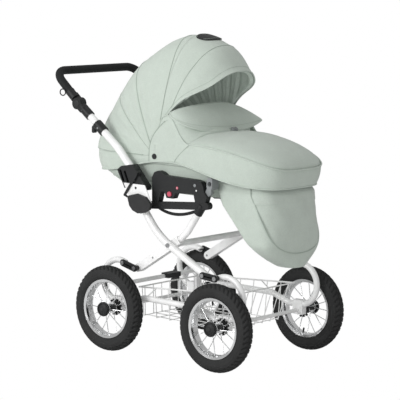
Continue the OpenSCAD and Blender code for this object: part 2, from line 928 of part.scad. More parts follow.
module boot() {
  lev = [boot_z, 378, 396, 425, 460, 510, 560, 610, 635, 654, 669, boot_top];
  inn = [425, 460, 510, 560, 610, 635, 654, 669, boot_top];
  n = len(lev);
  k = len(inn);
  m = 36;
  pts = concat([for (z = lev) each boot_ring(z, 0)], [for (z = inn) each boot_ring(z, cloth_t)]);
  side = [for (i = [0:n - 2], j = [0:m - 1]) let (j2 = (j + 1) % m) each
    [[i * m + j, i * m + m + j, i * m + j2], [i * m + j2, i * m + m + j, i * m + m + j2]]];
  o = n * m;
  lin = [for (i = [0:k - 2], j = [0:m - 1]) let (j2 = (j + 1) % m) each
    [[o + i * m + j, o + i * m + j2, o + i * m + m + j], [o + i * m + j2, o + i * m + m + j2, o + i * m + m + j]]];
  a = (n - 1) * m;
  c = o + (k - 1) * m;
  lip = [for (j = [0:m - 1]) let (j2 = (j + 1) % m) each [[a + j, c + j, a + j2], [a + j2, c + j, c + j2]]];
  low = [[for (j = [0:m - 1]) j]];
  sole = [[for (j = [0:m - 1]) o + m - 1 - j]];
  color("#b4c2b6")
    polyhedron(points = pts, faces = concat(side, lin, lip, low, sole), convexity = 8);
}

// Tub under the covers, open at the top
tub_cx = -108.5;
tub_a = 333.5;
tub_b = 187;
function tub_top(x) = 716 - 56 * ease((x - 40) / 160);
function tub_ring(k, z, d, n) = [for (i = [0:n - 1])
  let (p = oval(tub_cx + 170 * (1 - k), tub_a * k - d, tub_b * k - d, 0.56, i * 360 / n)) [p[0], p[1], z]];
function tub_rim(d, n) = [for (i = [0:n - 1])
  let (p = oval(tub_cx, tub_a - d, tub_b - d, 0.56, i * 360 / n)) [p[0], p[1], tub_top(p[0])]];

module seat_shell() {
  m = 48;
  outer = [tub_ring(0.7, 598, 0, m), tub_ring(0.86, 614, 0, m), tub_ring(0.985, 654, 0, m), tub_rim(0, m)];
  inner = [tub_ring(0.7, 606, 2, m), tub_ring(0.86, 622, 7, m), tub_ring(0.985, 658, 8, m), tub_rim(8, m)];
  n = 4;
  o = n * m;
  pts = concat([for (r = outer) each r], [for (r = inner) each r]);
  side = [for (i = [0:n - 2], j = [0:m - 1]) let (j2 = (j + 1) % m) each
    [[i * m + j, i * m + m + j, i * m + j2], [i * m + j2, i * m + m + j, i * m + m + j2]]];
  lin = [for (i = [0:n - 2], j = [0:m - 1]) let (j2 = (j + 1) % m) each
    [[o + i * m + j, o + i * m + j2, o + i * m + m + j], [o + i * m + j2, o + i * m + m + j2, o + i * m + m + j]]];
  a = (n - 1) * m;
  lip = [for (j = [0:m - 1]) let (j2 = (j + 1) % m) each
    [[a + j, a + o + j, a + j2], [a + j2, a + o + j, a + o + j2]]];
  low = [[for (j = [0:m - 1]) j]];
  sole = [[for (j = [0:m - 1]) o + m - 1 - j]];
  color("#a9b6ab")
    polyhedron(points = pts, faces = concat(side, lin, lip, low, sole), convexity = 8);
}

// Band that joins the tub to the covers, lower at the foot end
function band_z(x) = rim_z - rim_drop * ease((x - 120) / 250);

module seat_rim() {
  m = 56;
  function loop(d, h) = [for (i = [0:m - 1])
    let (t = i * 360 / m, p = skin(t, rim_z, d)) skin(t, band_z(p[0]) + h, d)];
  outer = [loop(cloth_t + 0.6, 0), loop(cloth_t + 0.6, rim_band)];
  inner = [loop(cloth_t + 5.6, 0), loop(cloth_t + 5.6, rim_band)];
  pts = concat(outer[0], outer[1], inner[0], inner[1]);
  f = [for (j = [0:m - 1]) let (j2 = (j + 1) % m) each
    [[j, m + j, j2], [j2, m + j, m + j2],
     [2 * m + j, 2 * m + j2, 3 * m + j], [2 * m + j2, 3 * m + j2, 3 * m + j],
     [m + j, 3 * m + j, m + j2], [m + j2, 3 * m + j, 3 * m + j2],
     [j, j2, 2 * m + j], [j2, 2 * m + j2, 2 * m + j]]];
  color("#a9b6ab")
    polyhedron(points = pts, faces = f, convexity = 6);
}

module seat_pad() {
  color("#7d877f")
    body([tub_ring(0.66, 606.4, 2, 40), tub_ring(0.8, 622, 2, 40), tub_ring(0.88, 640, 4, 40),
          tub_ring(0.9, 656, 8, 40), tub_ring(0.84, 668, 8, 40), tub_ring(0.6, 674, 4, 40)]);
}

adapter_nose = [154, 612];
adapter_top = [140, 628];
socket_p = [158, 658];
mount_tilt = heading(fold_p, mount_front);
function mount_top(x) = fold_z + (x - fold_x) * tan(mount_tilt) + mount_h / cos(mount_tilt) + fit_off;

module adapter_plate() {
  plate(tub_b - 1.1, inner_y + mount_r)
    polygon([[-106, mount_top(-106)], [-74, mount_top(-74)], [-64, 611], [-46, 611], [-36, 590],
             [-4, 590], [6, 611], [92, 616], [100, mount_top(100)], [148, mount_top(148)],
             adapter_nose, adapter_top, [136, 648], [126, 663], [104, 668], [-46, 671],
             [-62, 681], [-80, 685], [-97, 679], [-108, 660]]);
}

module seat_adapters() {
  color("#1c1d1f")
    both()
      difference() {
        adapter_plate();
        bar_y(-20, 606, inner_y + 3, inner_y + 20, 9.3);
      }
}

module button() {
  bar_y(-20, 606, inner_y + 7.5, inner_y + mount_r + 5, 9.2);
}

module button_left() {
  color("#b3363f")
    button();
}

module button_right() {
  color("#b3363f")
    mirror([0, 1, 0])
      button();
}

module bar_sockets() {
  color("#8b9092")
    both()
      difference() {
        union() {
          plate(165, seat_b + 2)
            strip(socket_p - [0, 10], socket_p + [0, 10], 13);
          plate(inner_y - mount_r, seat_b + 2)
            polygon([adapter_top, adapter_nose, [166, 622], [166, 650], [150, 650]]);
        }
        bar_y(socket_p[0], socket_p[1], seat_b - 24, seat_b + 10, socket_r);
      }
}

// Hood

function reach(phi) = phi < mid_a ?
  visor_reach + (crown_reach - visor_reach) * ease((phi - visor_a) / 16)
  + (top_reach - crown_reach) * ease((phi - visor_a - 12) / 19) :
  top_reach + (shoulder_reach - top_reach) * ease((phi - mid_a + 2) / 36)
  + (back_reach - shoulder_reach) * ease((phi - mid_a - 28) / 34)
  + tail_out * ease((phi - 150) / 30);
function half_w(phi) = hood_w + (seat_b - hood_w) * ease((phi - 90) / (rear_a - 90));
function round_e(phi) = 0.84 - 0.34 * ease((phi - 120) / 60);
function arch(phi, t, d) = let (e = round_e(phi), r = (reach(phi) - d) * pow(sin(t), e))
  [hood_x + r * cos(phi), (half_w(phi) - d) * sgnpow(cos(t), e), hood_z + r * sin(phi)];
function arch_t(i, n) = let (q = abs(2 * i / n - 1), h = 87.8 * (1 - pow(1 - q, 1.25)))
  i < n / 2 ? 90 - h : 90 + h;
function hood_grid(p0, p1, n, m, d) = [for (i = [0:n]) [for (j = [0:m])
  arch(p0 + (p1 - p0) * i / n, arch_t(j, m), d)]];

// The visor's edge sweeps back towards the pivots
function visor(t) = min(80, visor_a + 24 * pow(max(0, (abs(t - 90) - 32) / 44), 1.8));
function front_grid(n, m, d) = [for (i = [0:n]) [for (j = [0:m])
  let (t = arch_t(j, m), a = visor(t)) arch(a + (mid_a - 0.2 - a) * i / n, t, d)]];

module hood_front() {
  color("#c0cdc1")
    shell(front_grid(6, 36, 0), front_grid(6, 36, cloth_t));
}

module hood_mid() {
  color("#bdcabe")
    shell(hood_grid(mid_a, rear_a - 0.2, 9, 36, 0), hood_grid(mid_a, rear_a - 0.2, 9, 36, cloth_t));
}

module hood_rear() {
  color("#b9c6ba")
    shell(hood_grid(rear_a, 180, 8, 36, 0), hood_grid(rear_a, 180, 8, 36, cloth_t));
}

// Bow tube under the cloth
module bow(phi, swept) {
  n = 36;
  k = 8;
  r = 4.5;
  ts = [for (i = [0:n]) 0.9 + 178.2 * i / n];
  as = [for (t = ts) swept ? min(visor(t) + 3, mid_a - 10) : phi];
  p = [for (i = [0:n]) arch(as[i], ts[i], cloth_t + r + 1)];
  pts = [for (i = [0:n]) let (
      a = p[max(0, i - 1)], b = p[min(n, i + 1)], d = (b - a) / norm(b - a), flat = [-sin(as[i]), 0, cos(as[i])],
      m = cross(flat, d) / norm(cross(flat, d)), nrm = cross(d, m))
    each [for (q = [0:k - 1]) p[i] + r * (cos(q * 360 / k) * m + sin(q * 360 / k) * nrm)]];
  side = [for (i = [0:n - 1], q = [0:k - 1]) let (q2 = (q + 1) % k) each
    [[i * k + q, i * k + k + q, i * k + q2], [i * k + q2, i * k + k + q, i * k + k + q2]]];
  caps = [[for (q = [0:k - 1]) q], [for (q = [0:k - 1]) n * k + k - 1 - q]];
  polyhedron(points = pts, faces = concat(side, caps), convexity = 6);
}

module hood_bows() {
  color("#1c1d1f") {
    bow(visor_a + 3, true);
    bow(mid_a - 3, false);
    both()
      difference() {
        bar_y(hood_x, hood_z, 172, 187, 18);
        bar_y(hood_x, hood_z, 160, 190, 6 + run_gap);
      }
  }
}

module hood_pivots() {
  color("#151617")
    both() {
      bar_y(hood_x, hood_z, 166, seat_b + 1, 6);
      bar_y(hood_x, hood_z, 166, 171.5, 11);
      bar_y(hood_x, hood_z, seat_b + 0.5, seat_b + 5, 10);
    }
}

module hood_grip() {
  color("#1f2021")
    shell([for (i = [0:6]) [for (j = [0:12]) arch(mid_a - 11 + 10 * i / 6, 79 + 22 * j / 12, -4)]],
          [for (i = [0:6]) [for (j = [0:12]) arch(mid_a - 11 + 10 * i / 6, 79 + 22 * j / 12, -0.4)]]);
}

module place() {
  translate([-origin_x, 0, 0])
    children();
}

module tyre_fl() {
  wheel_at(1, 1)
    tyre();
}

module tyre_fr() {
  wheel_at(1, -1)
    tyre();
}

module tyre_rl() {
  wheel_at(-1, 1)
    tyre();
}

module tyre_rr() {
  wheel_at(-1, -1)
    tyre();
}

module rim_fl() {
  wheel_at(1, 1)
    rim();
}

module rim_fr() {
  wheel_at(1, -1)
    rim();
}

module rim_rl() {
  wheel_at(-1, 1)
    rim();
}

module rim_rr() {
  wheel_at(-1, -1)
    rim();
}

module spokes_fl() {
  wheel_at(1, 1)
    spokes();
}

module spokes_fr() {
  wheel_at(1, -1)
    spokes();
}

module spokes_rl() {
  wheel_at(-1, 1)
    spokes();
}

module spokes_rr() {
  wheel_at(-1, -1)
    spokes();
}

module hub_fl() {
  wheel_at(1, 1)
    hub();
}

module hub_fr() {
  wheel_at(1, -1)
    hub();
}

module hub_rl() {
  wheel_at(-1, 1)
    hub();
}

module hub_rr() {
  wheel_at(-1, -1)
    hub();
}

place() tyre_fl();
place() tyre_fr();
place() tyre_rl();
place() tyre_rr();
place() rim_fl();
place() rim_fr();
place() rim_rl();
place() rim_rr();
place() spokes_fl();
place() spokes_fr();
place() spokes_rl();
place() spokes_rr();
place() hub_fl();
place() hub_fr();
place() hub_rl();
place() hub_rr();
place() axles();
place() axle_brackets();
place() side_rails();
place() c_springs();
place() spring_links();
place() frame_bolts();
place() front_legs();
place() rear_legs();
place() seat_posts();
place() cross_tube();
place() seat_mounts();
place() brake_bearings();
place() brake_bar();
place() brake_pedal();
place() wire_basket();
place() hinge_plates();
place() hinge_covers();
place() hub_sleeves();
place() handle_tubes();
place() knuckle_sockets();
place() handlebar();
place() handle_grip();
place() latch_left();
place() latch_right();
place() hook_left();
place() hook_right();
place() seat_shell();
place() seat_rim();
place() seat_pad();
place() seat_cover();
place() apron_band();
place() apron_top();
place() apron_flap();
place() boot();
place() seat_adapters();
place() bar_sockets();
place() button_left();
place() button_right();
place() hood_rear();
place() hood_mid();
place() hood_front();
place() hood_bows();
place() hood_pivots();
place() hood_grip();
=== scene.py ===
"""Bassinet pram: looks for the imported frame, laid out as an add-on and run as a script."""
import math
import statistics

import bmesh
import bpy
from mathutils import Matrix, Vector, noise

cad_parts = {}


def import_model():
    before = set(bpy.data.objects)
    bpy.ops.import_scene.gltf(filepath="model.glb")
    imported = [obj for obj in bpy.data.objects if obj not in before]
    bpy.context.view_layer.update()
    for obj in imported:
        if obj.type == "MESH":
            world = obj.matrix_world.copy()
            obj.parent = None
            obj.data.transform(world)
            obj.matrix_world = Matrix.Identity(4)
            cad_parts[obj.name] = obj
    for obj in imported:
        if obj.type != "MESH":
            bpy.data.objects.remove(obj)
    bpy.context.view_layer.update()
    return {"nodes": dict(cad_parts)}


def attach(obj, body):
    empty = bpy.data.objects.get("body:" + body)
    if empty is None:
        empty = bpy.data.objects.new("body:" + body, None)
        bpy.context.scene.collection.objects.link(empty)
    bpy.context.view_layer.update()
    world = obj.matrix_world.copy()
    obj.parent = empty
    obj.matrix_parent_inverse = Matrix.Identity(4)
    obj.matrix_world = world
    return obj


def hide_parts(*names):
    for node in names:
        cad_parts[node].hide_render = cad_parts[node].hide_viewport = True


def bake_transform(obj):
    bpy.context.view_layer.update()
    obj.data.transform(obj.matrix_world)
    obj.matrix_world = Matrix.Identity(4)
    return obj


bl_info = {
    "name": "Bassinet pram",
    "version": (1, 0, 0),
    "blender": (4, 5, 0),
    "location": "View3D > Sidebar > Pram",
    "description": "Builds the pram's cloth, tyres, trim, materials and stage on its packed frame",
    "category": "Object",
}

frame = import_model()
WHEELS = {"fl": (1, 1), "fr": (1, -1), "rl": (-1, 1), "rr": (-1, -1)}
SIDES = ((-1, "right"), (1, "left"))
MATS = {}
SINGLE, LINED = ("sage_cloth",), ("sage_cloth", "lining_cloth")


def number(name, value):
    return bpy.props.FloatProperty(name=name, default=value)


class PRAM_PG_sizes(bpy.types.PropertyGroup):
    """Sizes in millimetres from the middle of the wheelbase, and angles in degrees."""
    shift: number("Row frame shift", 92.4)
    wheel_r: number("Tyre radius", 160.0)
    tyre_w: number("Tyre width", 56.0)
    rim_r: number("Rim radius", 110.0)
    axle_x: number("Half wheelbase", 258.0)
    wheel_y: number("Half track", 270.0)
    outer_y: number("Handle plane", 228.0)
    seat_cx: number("Seat middle", -21.6)
    seat_a: number("Seat half length", 446.8)
    seat_b: number("Seat half width", 200.0)
    hood_x: number("Hood pivot along", -105.0)
    hood_z: number("Hood pivot height", 735.0)
    hood_w: number("Hood half width", 193.0)
    visor_a: number("Visor angle", 53.0)
    mid_a: number("Middle bow angle", 84.0)
    rear_a: number("Rear bow angle", 140.0)
    boot_z: number("Boot bottom", 367.0)
    boot_top: number("Boot top", 681.6)
    boot_front: number("Boot front", 424.0)
    tub_cx: number("Tub middle", -108.5)
    tub_a: number("Tub half length", 333.5)
    tub_b: number("Tub half width", 187.0)
    cloth_t: number("Cloth thickness", 3.0)
    tread: number("Tread depth", 4.4)
    blocks: bpy.props.IntProperty(name="Tread blocks around", default=48)


def colour(name, value):
    return bpy.props.FloatVectorProperty(name=name, subtype="COLOR", size=3, min=0.0, max=1.0, default=value)


class PRAM_PG_colours(bpy.types.PropertyGroup):
    """Linear base colours."""
    cloth: colour("Cloth", (0.56, 0.63, 0.565))
    tub: colour("Tub cloth", (0.49, 0.555, 0.495))
    lining: colour("Lining", (0.57, 0.64, 0.58))
    # darker than the cloth: the seam cords are real, their darker colour is painted shade of the seams' grooves
    seam: colour("Seam", (0.40, 0.47, 0.41))
    pad: colour("Mattress", (0.30, 0.335, 0.305))
    white: colour("White paint", (0.97, 0.97, 0.965))
    black: colour("Black plastic", (0.017, 0.018, 0.0185))
    paddle: colour("Dark grey plastic", (0.028, 0.0285, 0.029))
    foam: colour("Foam", (0.014, 0.0155, 0.016))
    rubber: colour("Tyre rubber", (0.027, 0.0275, 0.0275))
    chrome: colour("Chrome", (0.86, 0.865, 0.87))
    steel: colour("Steel", (0.36, 0.365, 0.37))
    grey: colour("Grey plastic", (0.26, 0.275, 0.28))
    red: colour("Red plastic", (0.56, 0.07, 0.12))
    leather: colour("Leather", (0.012, 0.0125, 0.013))


# Small tools; cos and sin take degrees

def sizes():
    return bpy.context.scene.pram_sizes


def row(x, y, z):
    """Point of the row frame in metres, from millimetres off the middle of the wheelbase."""
    return Vector(((x + sizes().shift) / 1000.0, y / 1000.0, z / 1000.0))


def ease(v):
    t = min(1.0, max(0.0, v))
    return t * t * (3.0 - 2.0 * t)


def power(v, e):
    """Power that keeps the sign."""
    return math.copysign(abs(v) ** e, v)


def cos(a):
    return math.cos(math.radians(a))


def sin(a):
    return math.sin(math.radians(a))


def steps(a, b, n):
    """Numbers from a to b in n equal steps."""
    return [a + (b - a) * i / n for i in range(n + 1)]


def crumple(x, y, z, scale, amount):
    """Broad soft unevenness of cloth, in millimetres."""
    return amount * noise.noise(Vector((x / scale, y / scale, z / scale)))


def make(name, bm, mats):
    mesh = bpy.data.meshes.new(name)
    bm.to_mesh(mesh)
    bm.free()
    for m in mats:
        mesh.materials.append(m)
    mesh.polygons.foreach_set("use_smooth", [True] * len(mesh.polygons))
    ob = bpy.data.objects.new(name, mesh)
    bpy.context.scene.collection.objects.link(ob)
    return ob


def settle(ob, body, slot, *nodes):
    """Puts a piece on a body, or bakes it in place where the body is a blend of two, and hides the nodes it
    replaces; slot is not used.
    """
    if isinstance(body, tuple):
        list(body)
        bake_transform(ob)
    else:
        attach(ob, body)
    if nodes:
        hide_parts(*nodes)


def cloth(ob, held, *rests_on, length=max):
    """Measures a sheet by the longest runs over its surface; a bent strip's length is its median run."""
    mesh = ob.data
    uv = [tuple(loop.uv) for loop in mesh.uv_layers.active.data]
    spots = [mesh.vertices[loop.vertex_index].co for loop in mesh.loops]
    runs = {}, {}
    for face in mesh.polygons:
        loops = list(face.loop_indices)
        for k in (0, 1):
            low = min(uv[i][k] for i in loops)
            for i, j in zip(loops, loops[1:] + loops[:1]):
                if max(uv[i][k], uv[j][k]) - low < 0.00001:
                    line = round(low, 4)
                    runs[k][line] = runs[k].get(line, 0.0) + (spots[i] - spots[j]).length
    flat = round(max(runs[0].values()), 4), round(length(runs[1].values()), 4)


def sheet_mesh(nu, nv, place, centre, merge=False):
    """Grid of nu by nv faces, each corner put where place(u, v) says, turned away from centre."""
    bm = bmesh.new()
    bmesh.ops.create_grid(bm, x_segments=nu, y_segments=nv, size=1.0)
    layer = bm.loops.layers.uv.new("UVMap")
    for face in bm.faces:
        for loop in face.loops:
            loop[layer].uv = [(c + 1.0) / 2.0 for c in loop.vert.co.xy]
    for v in bm.verts:
        v.co = place(*(min(1.0, max(0.0, (c + 1.0) / 2.0)) for c in v.co.xy))
    if merge:
        bmesh.ops.remove_doubles(bm, verts=bm.verts, dist=0.00002)
    bm.normal_update()
    if sum(f.normal.dot(f.calc_center_median() - centre) * f.calc_area() for f in bm.faces) < 0:
        bmesh.ops.reverse_faces(bm, faces=bm.faces)
    return bm


def thicken(ob, mm, inner=0):
    """Thickness inwards; inner is the inside's material."""
    mod = ob.modifiers.new("thickness", "SOLIDIFY")
    mod.thickness = mm / 1000.0
    mod.offset = -1.0
    mod.material_offset = inner
    return ob


def tube_mesh(points, radius, sides=8, closed=False, flat=1.0, up=Vector((0, 0, 1))):
    """Round or flattened bar through points in metres."""
    bm = bmesh.new()
    n = len(points)
    turns = [360.0 * k / sides for k in range(sides)]
    rings = []
    for i, p in enumerate(points):
        a = points[i - 1] if (i > 0 or closed) else p
        b = points[(i + 1) % n] if (i < n - 1 or closed) else p
        d = (b - a).normalized()
        side = d.cross(up)
        side = side.normalized() if side.length > 1e-6 else d.orthogonal().normalized()
        top = side.cross(d).normalized()
        rings.append([bm.verts.new(p + radius * (cos(k) * side + flat * sin(k) * top)) for k in turns])
    for i in range(n if closed else n - 1):
        q, r = rings[i], rings[(i + 1) % n]
        for k in range(sides):
            bm.faces.new((q[k], q[(k + 1) % sides], r[(k + 1) % sides], r[k]))
    if not closed:
        bm.faces.new(rings[0])
        bm.faces.new(rings[-1])
    bmesh.ops.recalc_face_normals(bm, faces=bm.faces)
    return bm


def lathe_mesh(profile, origin, axis, sides):
    """Turned part: profile of (radius, height) in millimetres about axis at origin."""
    bm = bmesh.new()
    turn = Vector((0, 0, 1)).rotation_difference(Vector(axis)).to_matrix().to_4x4()
    verts = [bm.verts.new((r / 1000.0, 0.0, h / 1000.0)) for r, h in profile]
    edges = [bm.edges.new((verts[i], verts[i + 1])) for i in range(len(verts) - 1)]
    bmesh.ops.spin(bm, geom=verts + edges, cent=(0, 0, 0), axis=(0, 0, 1), angle=2 * math.pi, steps=sides)
    bmesh.ops.remove_doubles(bm, verts=bm.verts, dist=0.00001)
    bmesh.ops.recalc_face_normals(bm, faces=bm.faces)
    bmesh.ops.transform(bm, matrix=Matrix.Translation(origin) @ turn, verts=bm.verts)
    return bm


def turned(name, profile, origin, axis, sides, mat, body, slot):
    settle(make(name, lathe_mesh(profile, origin, axis, sides), [MATS[mat]]), body, slot)


def stud(name, x, y, z, r, height, mat, body, slot):
    """Domed rivet head, facing out to the side."""
    prof = [(0.0, height), (r * 0.5, height * 0.92), (r * 0.85, height * 0.55), (r, 0.0), (r, -1.0), (0.0, -1.0)]
    turned(name, prof, row(x, y, z), (0, math.copysign(1.0, y), 0), 24, mat, body, slot)


def piping(name, points, r, body, slot="green_cloth", mat="seam_shade_cloth", sides=6, closed=False):
    """Sewn cord of radius r through points, in millimetres; by default the cord is a real seam whose darker cloth
    is painted shade of the seam's groove.
    """
    ob = make(name, tube_mesh([row(*p) for p in points], r / 1000.0, sides, closed), [MATS[mat]])
    settle(ob, body, slot)


def sewn(name, bm, mats, thick, rests_on, *nodes, body="seat", held="stretched", length=max):
    """Sheet of cloth, with the last of its materials inside."""
    ob = make(name, bm, [MATS[m] for m in mats])
    settle(thicken(ob, thick, len(mats) - 1), body, "green_cloth", *nodes)
    cloth(ob, held, rests_on, length=length)


# Materials

WAVES = 314.0  # scale of a wave texture whose bands are 1 mm apart


class Shade:
    """One procedural material on object coordinates."""

    def __init__(self, name, rough, metal=0.0):
        self.mat = bpy.data.materials.new(name)
        self.mat.use_nodes = True
        self.tree = self.mat.node_tree
        self.bsdf = self.tree.nodes["Principled BSDF"]
        self.where = self.tree.nodes.new("ShaderNodeTexCoord").outputs["Object"]
        self.set("Roughness", rough)
        self.set("Metallic", metal)
        MATS[name] = self.mat

    def put(self, socket, value):
        """Gives an input its value, or links it where the value is an output."""
        if isinstance(value, bpy.types.NodeSocket):
            self.tree.links.new(value, socket)
        else:
            socket.default_value = value

    def set(self, name, value):
        self.put(self.bsdf.inputs[name], value)

    def node(self, kind, **values):
        """New node with its inputs and settings."""
        n = self.tree.nodes.new(kind)
        for key, v in values.items():
            if key in n.inputs:
                self.put(n.inputs[key], v)
            else:
                setattr(n, key, v)
        return n

    def noise(self, scale, detail):
        n = self.node("ShaderNodeTexNoise", Vector=self.where, Scale=scale, Detail=detail, Roughness=0.55)
        return n.outputs["Fac"]

    def bands(self, pitch_mm, direction, turn=0.0):
        m = self.node("ShaderNodeMapping", Vector=self.where, Rotation=(0.0, 0.0, turn))
        w = self.node("ShaderNodeTexWave", Vector=m.outputs["Vector"], Scale=WAVES / pitch_mm, Distortion=0.6,
                      wave_type="BANDS", bands_direction=direction)
        w.inputs["Detail Scale"].default_value = 1.5
        return w.outputs["Fac"]

    def cells(self, scale):
        n = self.node("ShaderNodeTexVoronoi", Vector=self.where, Scale=scale, feature="DISTANCE_TO_EDGE")
        return n.outputs["Distance"]

    def math(self, operation, a, b):
        n = self.node("ShaderNodeMath", operation=operation)
        self.put(n.inputs[0], a)
        self.put(n.inputs[1], b)
        return n.outputs[0]

    def tint(self, fac, base, low, high, lo=0.3, hi=0.7):
        """Base colour that varies between low and high times itself."""
        n = self.node("ShaderNodeValToRGB", Fac=fac)
        for stop, place, k in zip(n.color_ramp.elements, (lo, hi), (low, high)):
            stop.position = place
            stop.color = (*(min(1.0, c * k) for c in base), 1.0)
        self.set("Base Color", n.outputs["Color"])

    def vary_rough(self, fac, lo, hi):
        self.set("Roughness", self.math("ADD", self.math("MULTIPLY", fac, hi - lo), lo))

    def bump(self, height, mm, strength):
        b = self.node("ShaderNodeBump", Height=height, Strength=strength, Distance=mm / 1000.0)
        self.set("Normal", b.outputs["Normal"])


def woven(name, base, pitch=1.3, depth=0.35, low=0.86, high=1.1, sheen=0.25, broad=26.0, glow=0.0):
    """Cloth of crossed threads, pitch and depth in millimetres; glow is painted light, an emission in the cloth's
    own colour.
    """
    s = Shade(name, 0.88)
    warp = s.bands(pitch, "X", math.radians(45.0))
    other = s.bands(pitch, "Y", math.radians(45.0))
    weft = s.bands(pitch, "Z")
    thread = s.math("MAXIMUM", s.math("MULTIPLY", warp, other), weft)
    fleck = s.noise(900.0, 2.0)
    cloud = s.noise(broad, 3.0)
    slub = s.noise(210.0, 2.0)
    mix = s.math("ADD", s.math("MULTIPLY", thread, 0.2), s.math("ADD", s.math("MULTIPLY", fleck, 0.22), s.math(
        "ADD", s.math("MULTIPLY", slub, 0.34), s.math("MULTIPLY", cloud, 0.24))))
    s.tint(mix, base, low, high, 0.25, 0.75)
    s.vary_rough(fleck, 0.8, 0.98)
    s.bump(s.math("ADD", thread, s.math("MULTIPLY", cloud, 1.6)), depth, 0.55)
    s.set("Sheen Weight", sheen)
    s.set("Sheen Roughness", 0.6)
    s.set("Specular IOR Level", 0.2)
    # painted light: the cloth glows in its own colour, though it is no lamp
    if glow:
        s.set("Emission Color", (*base, 1.0))
        s.set("Emission Strength", glow)


def moulded(name, base, rough=0.5, grain=1500.0, depth=0.12, coat=0.0):
    """Plastic, rubber or paint with a fine grain."""
    s = Shade(name, rough)
    fine = s.noise(grain, 3.0)
    broad = s.noise(18.0, 2.0)
    s.tint(broad, base, 0.86, 1.16)
    mix = s.math("ADD", s.math("MULTIPLY", fine, 0.5), s.math("MULTIPLY", broad, 0.5))
    s.vary_rough(mix, rough - 0.1, rough + 0.12)
    s.bump(fine, depth, 0.5)
    s.set("Specular IOR Level", 0.5 if coat else 0.28)
    if coat:
        s.set("Coat Weight", coat)
        s.set("Coat Roughness", 0.15)


def metal(name, base, rough=0.12, grain=420.0, depth=0.012):
    s = Shade(name, rough, 1.0)
    fine = s.noise(grain, 2.0)
    broad = s.noise(14.0, 3.0)
    s.tint(broad, base, 0.9, 1.05)
    s.vary_rough(broad, rough * 0.7, rough * 1.5)
    s.bump(fine, depth, 0.3)


def grained(name, base, scale=700.0, rough=0.5, depth=0.4):
    """Leather with a grain of small cells."""
    s = Shade(name, rough)
    cells = s.cells(scale)
    broad = s.noise(30.0, 3.0)
    s.tint(broad, base, 0.8, 1.4)
    s.vary_rough(cells, rough, rough + 0.25)
    s.bump(s.math("MULTIPLY", cells, 6.0), depth, 0.5)


class PRAM_OT_materials(bpy.types.Operator):
    """Makes the materials and dresses the metal and plastic nodes"""
    bl_idname = "pram.materials"
    bl_label = "Materials"

    def execute(self, context):
        c = context.scene.pram_colours
        woven("sage_cloth", c.cloth)
        woven("tub_cloth", c.tub)
        woven("lining_cloth", c.tub, 1.0, 0.3, 0.75, 1.15, 0.15)
        # the hood's lining glows a little: painted light that brightens the shaded inside of the hood
        woven("hood_lining", c.lining, 1.0, 0.3, 0.75, 1.25, 0.15, glow=0.055)
        # seam cords: real seams, with a darker colour that is painted shade of their grooves
        woven("seam_shade_cloth", c.seam, 0.8, 0.3)
        woven("pad_cloth", c.pad, 1.6, 0.5)
        woven("strap_web", c.black, 1.4, 0.6, 0.7, 1.5, 0.05)
        moulded("white_paint", c.white, 0.34, 260.0, 0.02, 0.35)
        moulded("black_plastic", c.black, 0.46)
        moulded("paddle_plastic", c.paddle, 0.58, 1100.0, 0.2)
        moulded("grey_plastic", c.grey, 0.42)
        moulded("red_plastic", c.red, 0.3, 900.0, 0.04, 0.3)
        moulded("tyre_rubber", c.rubber, 0.78, 600.0, 0.35)
        moulded("foam_grip", c.foam, 0.72, 1300.0, 0.5)
        metal("chrome_metal", c.chrome)
        metal("bolt_steel", c.steel, 0.32, 900.0, 0.06)
        grained("black_leather", c.leather)
        dress = {
            "white_paint": "axles axle_brackets side_rails c_springs front_legs rear_legs seat_posts cross_tube "
                           "brake_bearings brake_bar wire_basket hinge_plates handle_tubes",
            "black_plastic": "spring_links seat_mounts brake_pedal hub_sleeves knuckle_sockets latch_left "
                             "latch_right hook_left hook_right seat_adapters hood_bows hood_pivots handlebar "
                             "hub_fl hub_fr hub_rl hub_rr",
            "paddle_plastic": "hinge_covers",
            "bolt_steel": "frame_bolts",
            "grey_plastic": "bar_sockets",
            "red_plastic": "button_left button_right",
            "chrome_metal": "rim_fl rim_fr rim_rl rim_rr spokes_fl spokes_fr spokes_rl spokes_rr",
        }
        for name, nodes in dress.items():
            for node in nodes.split():
                slots = frame["nodes"][node].data.materials
                slots.clear()
                slots.append(MATS[name])
        soft_edges = {3.5: "hinge_covers rear_legs", 0.8: "hinge_plates hook_left hook_right", 2.2: "hub_sleeves",
                      3.0: "seat_adapters", 1.5: "seat_mounts knuckle_sockets bar_sockets", 4.0: "brake_pedal",
                      1.2: "spring_links latch_left latch_right", 2.5: "axle_brackets",
                      1.0: "button_left button_right"}
        for width, node in [(width, node) for width, nodes in soft_edges.items() for node in nodes.split()]:
            ob = frame["nodes"][node]
            weld = ob.modifiers.new("weld", "WELD")
            weld.merge_threshold = 0.00002
            bevel = ob.modifiers.new("edges", "BEVEL")
            bevel.width = width / 1000.0
            bevel.segments = 3
            bevel.limit_method = "ANGLE"
            bevel.angle_limit = math.radians(40.0)
            bevel.harden_normals = True
        return {"FINISHED"}


# Wheels: angles around the tyre's tube are degrees from the middle of the tread

TREAD_END = 56.0
WALL_RINGS = (66.0, 84.0, 108.0)
GROOVE = (13.5, 19.0)
GAP = 0.36  # part of the pitch that is cut away between two blocks
VALVE_ANGLE = 101.25
VALVE_AT = 0.098


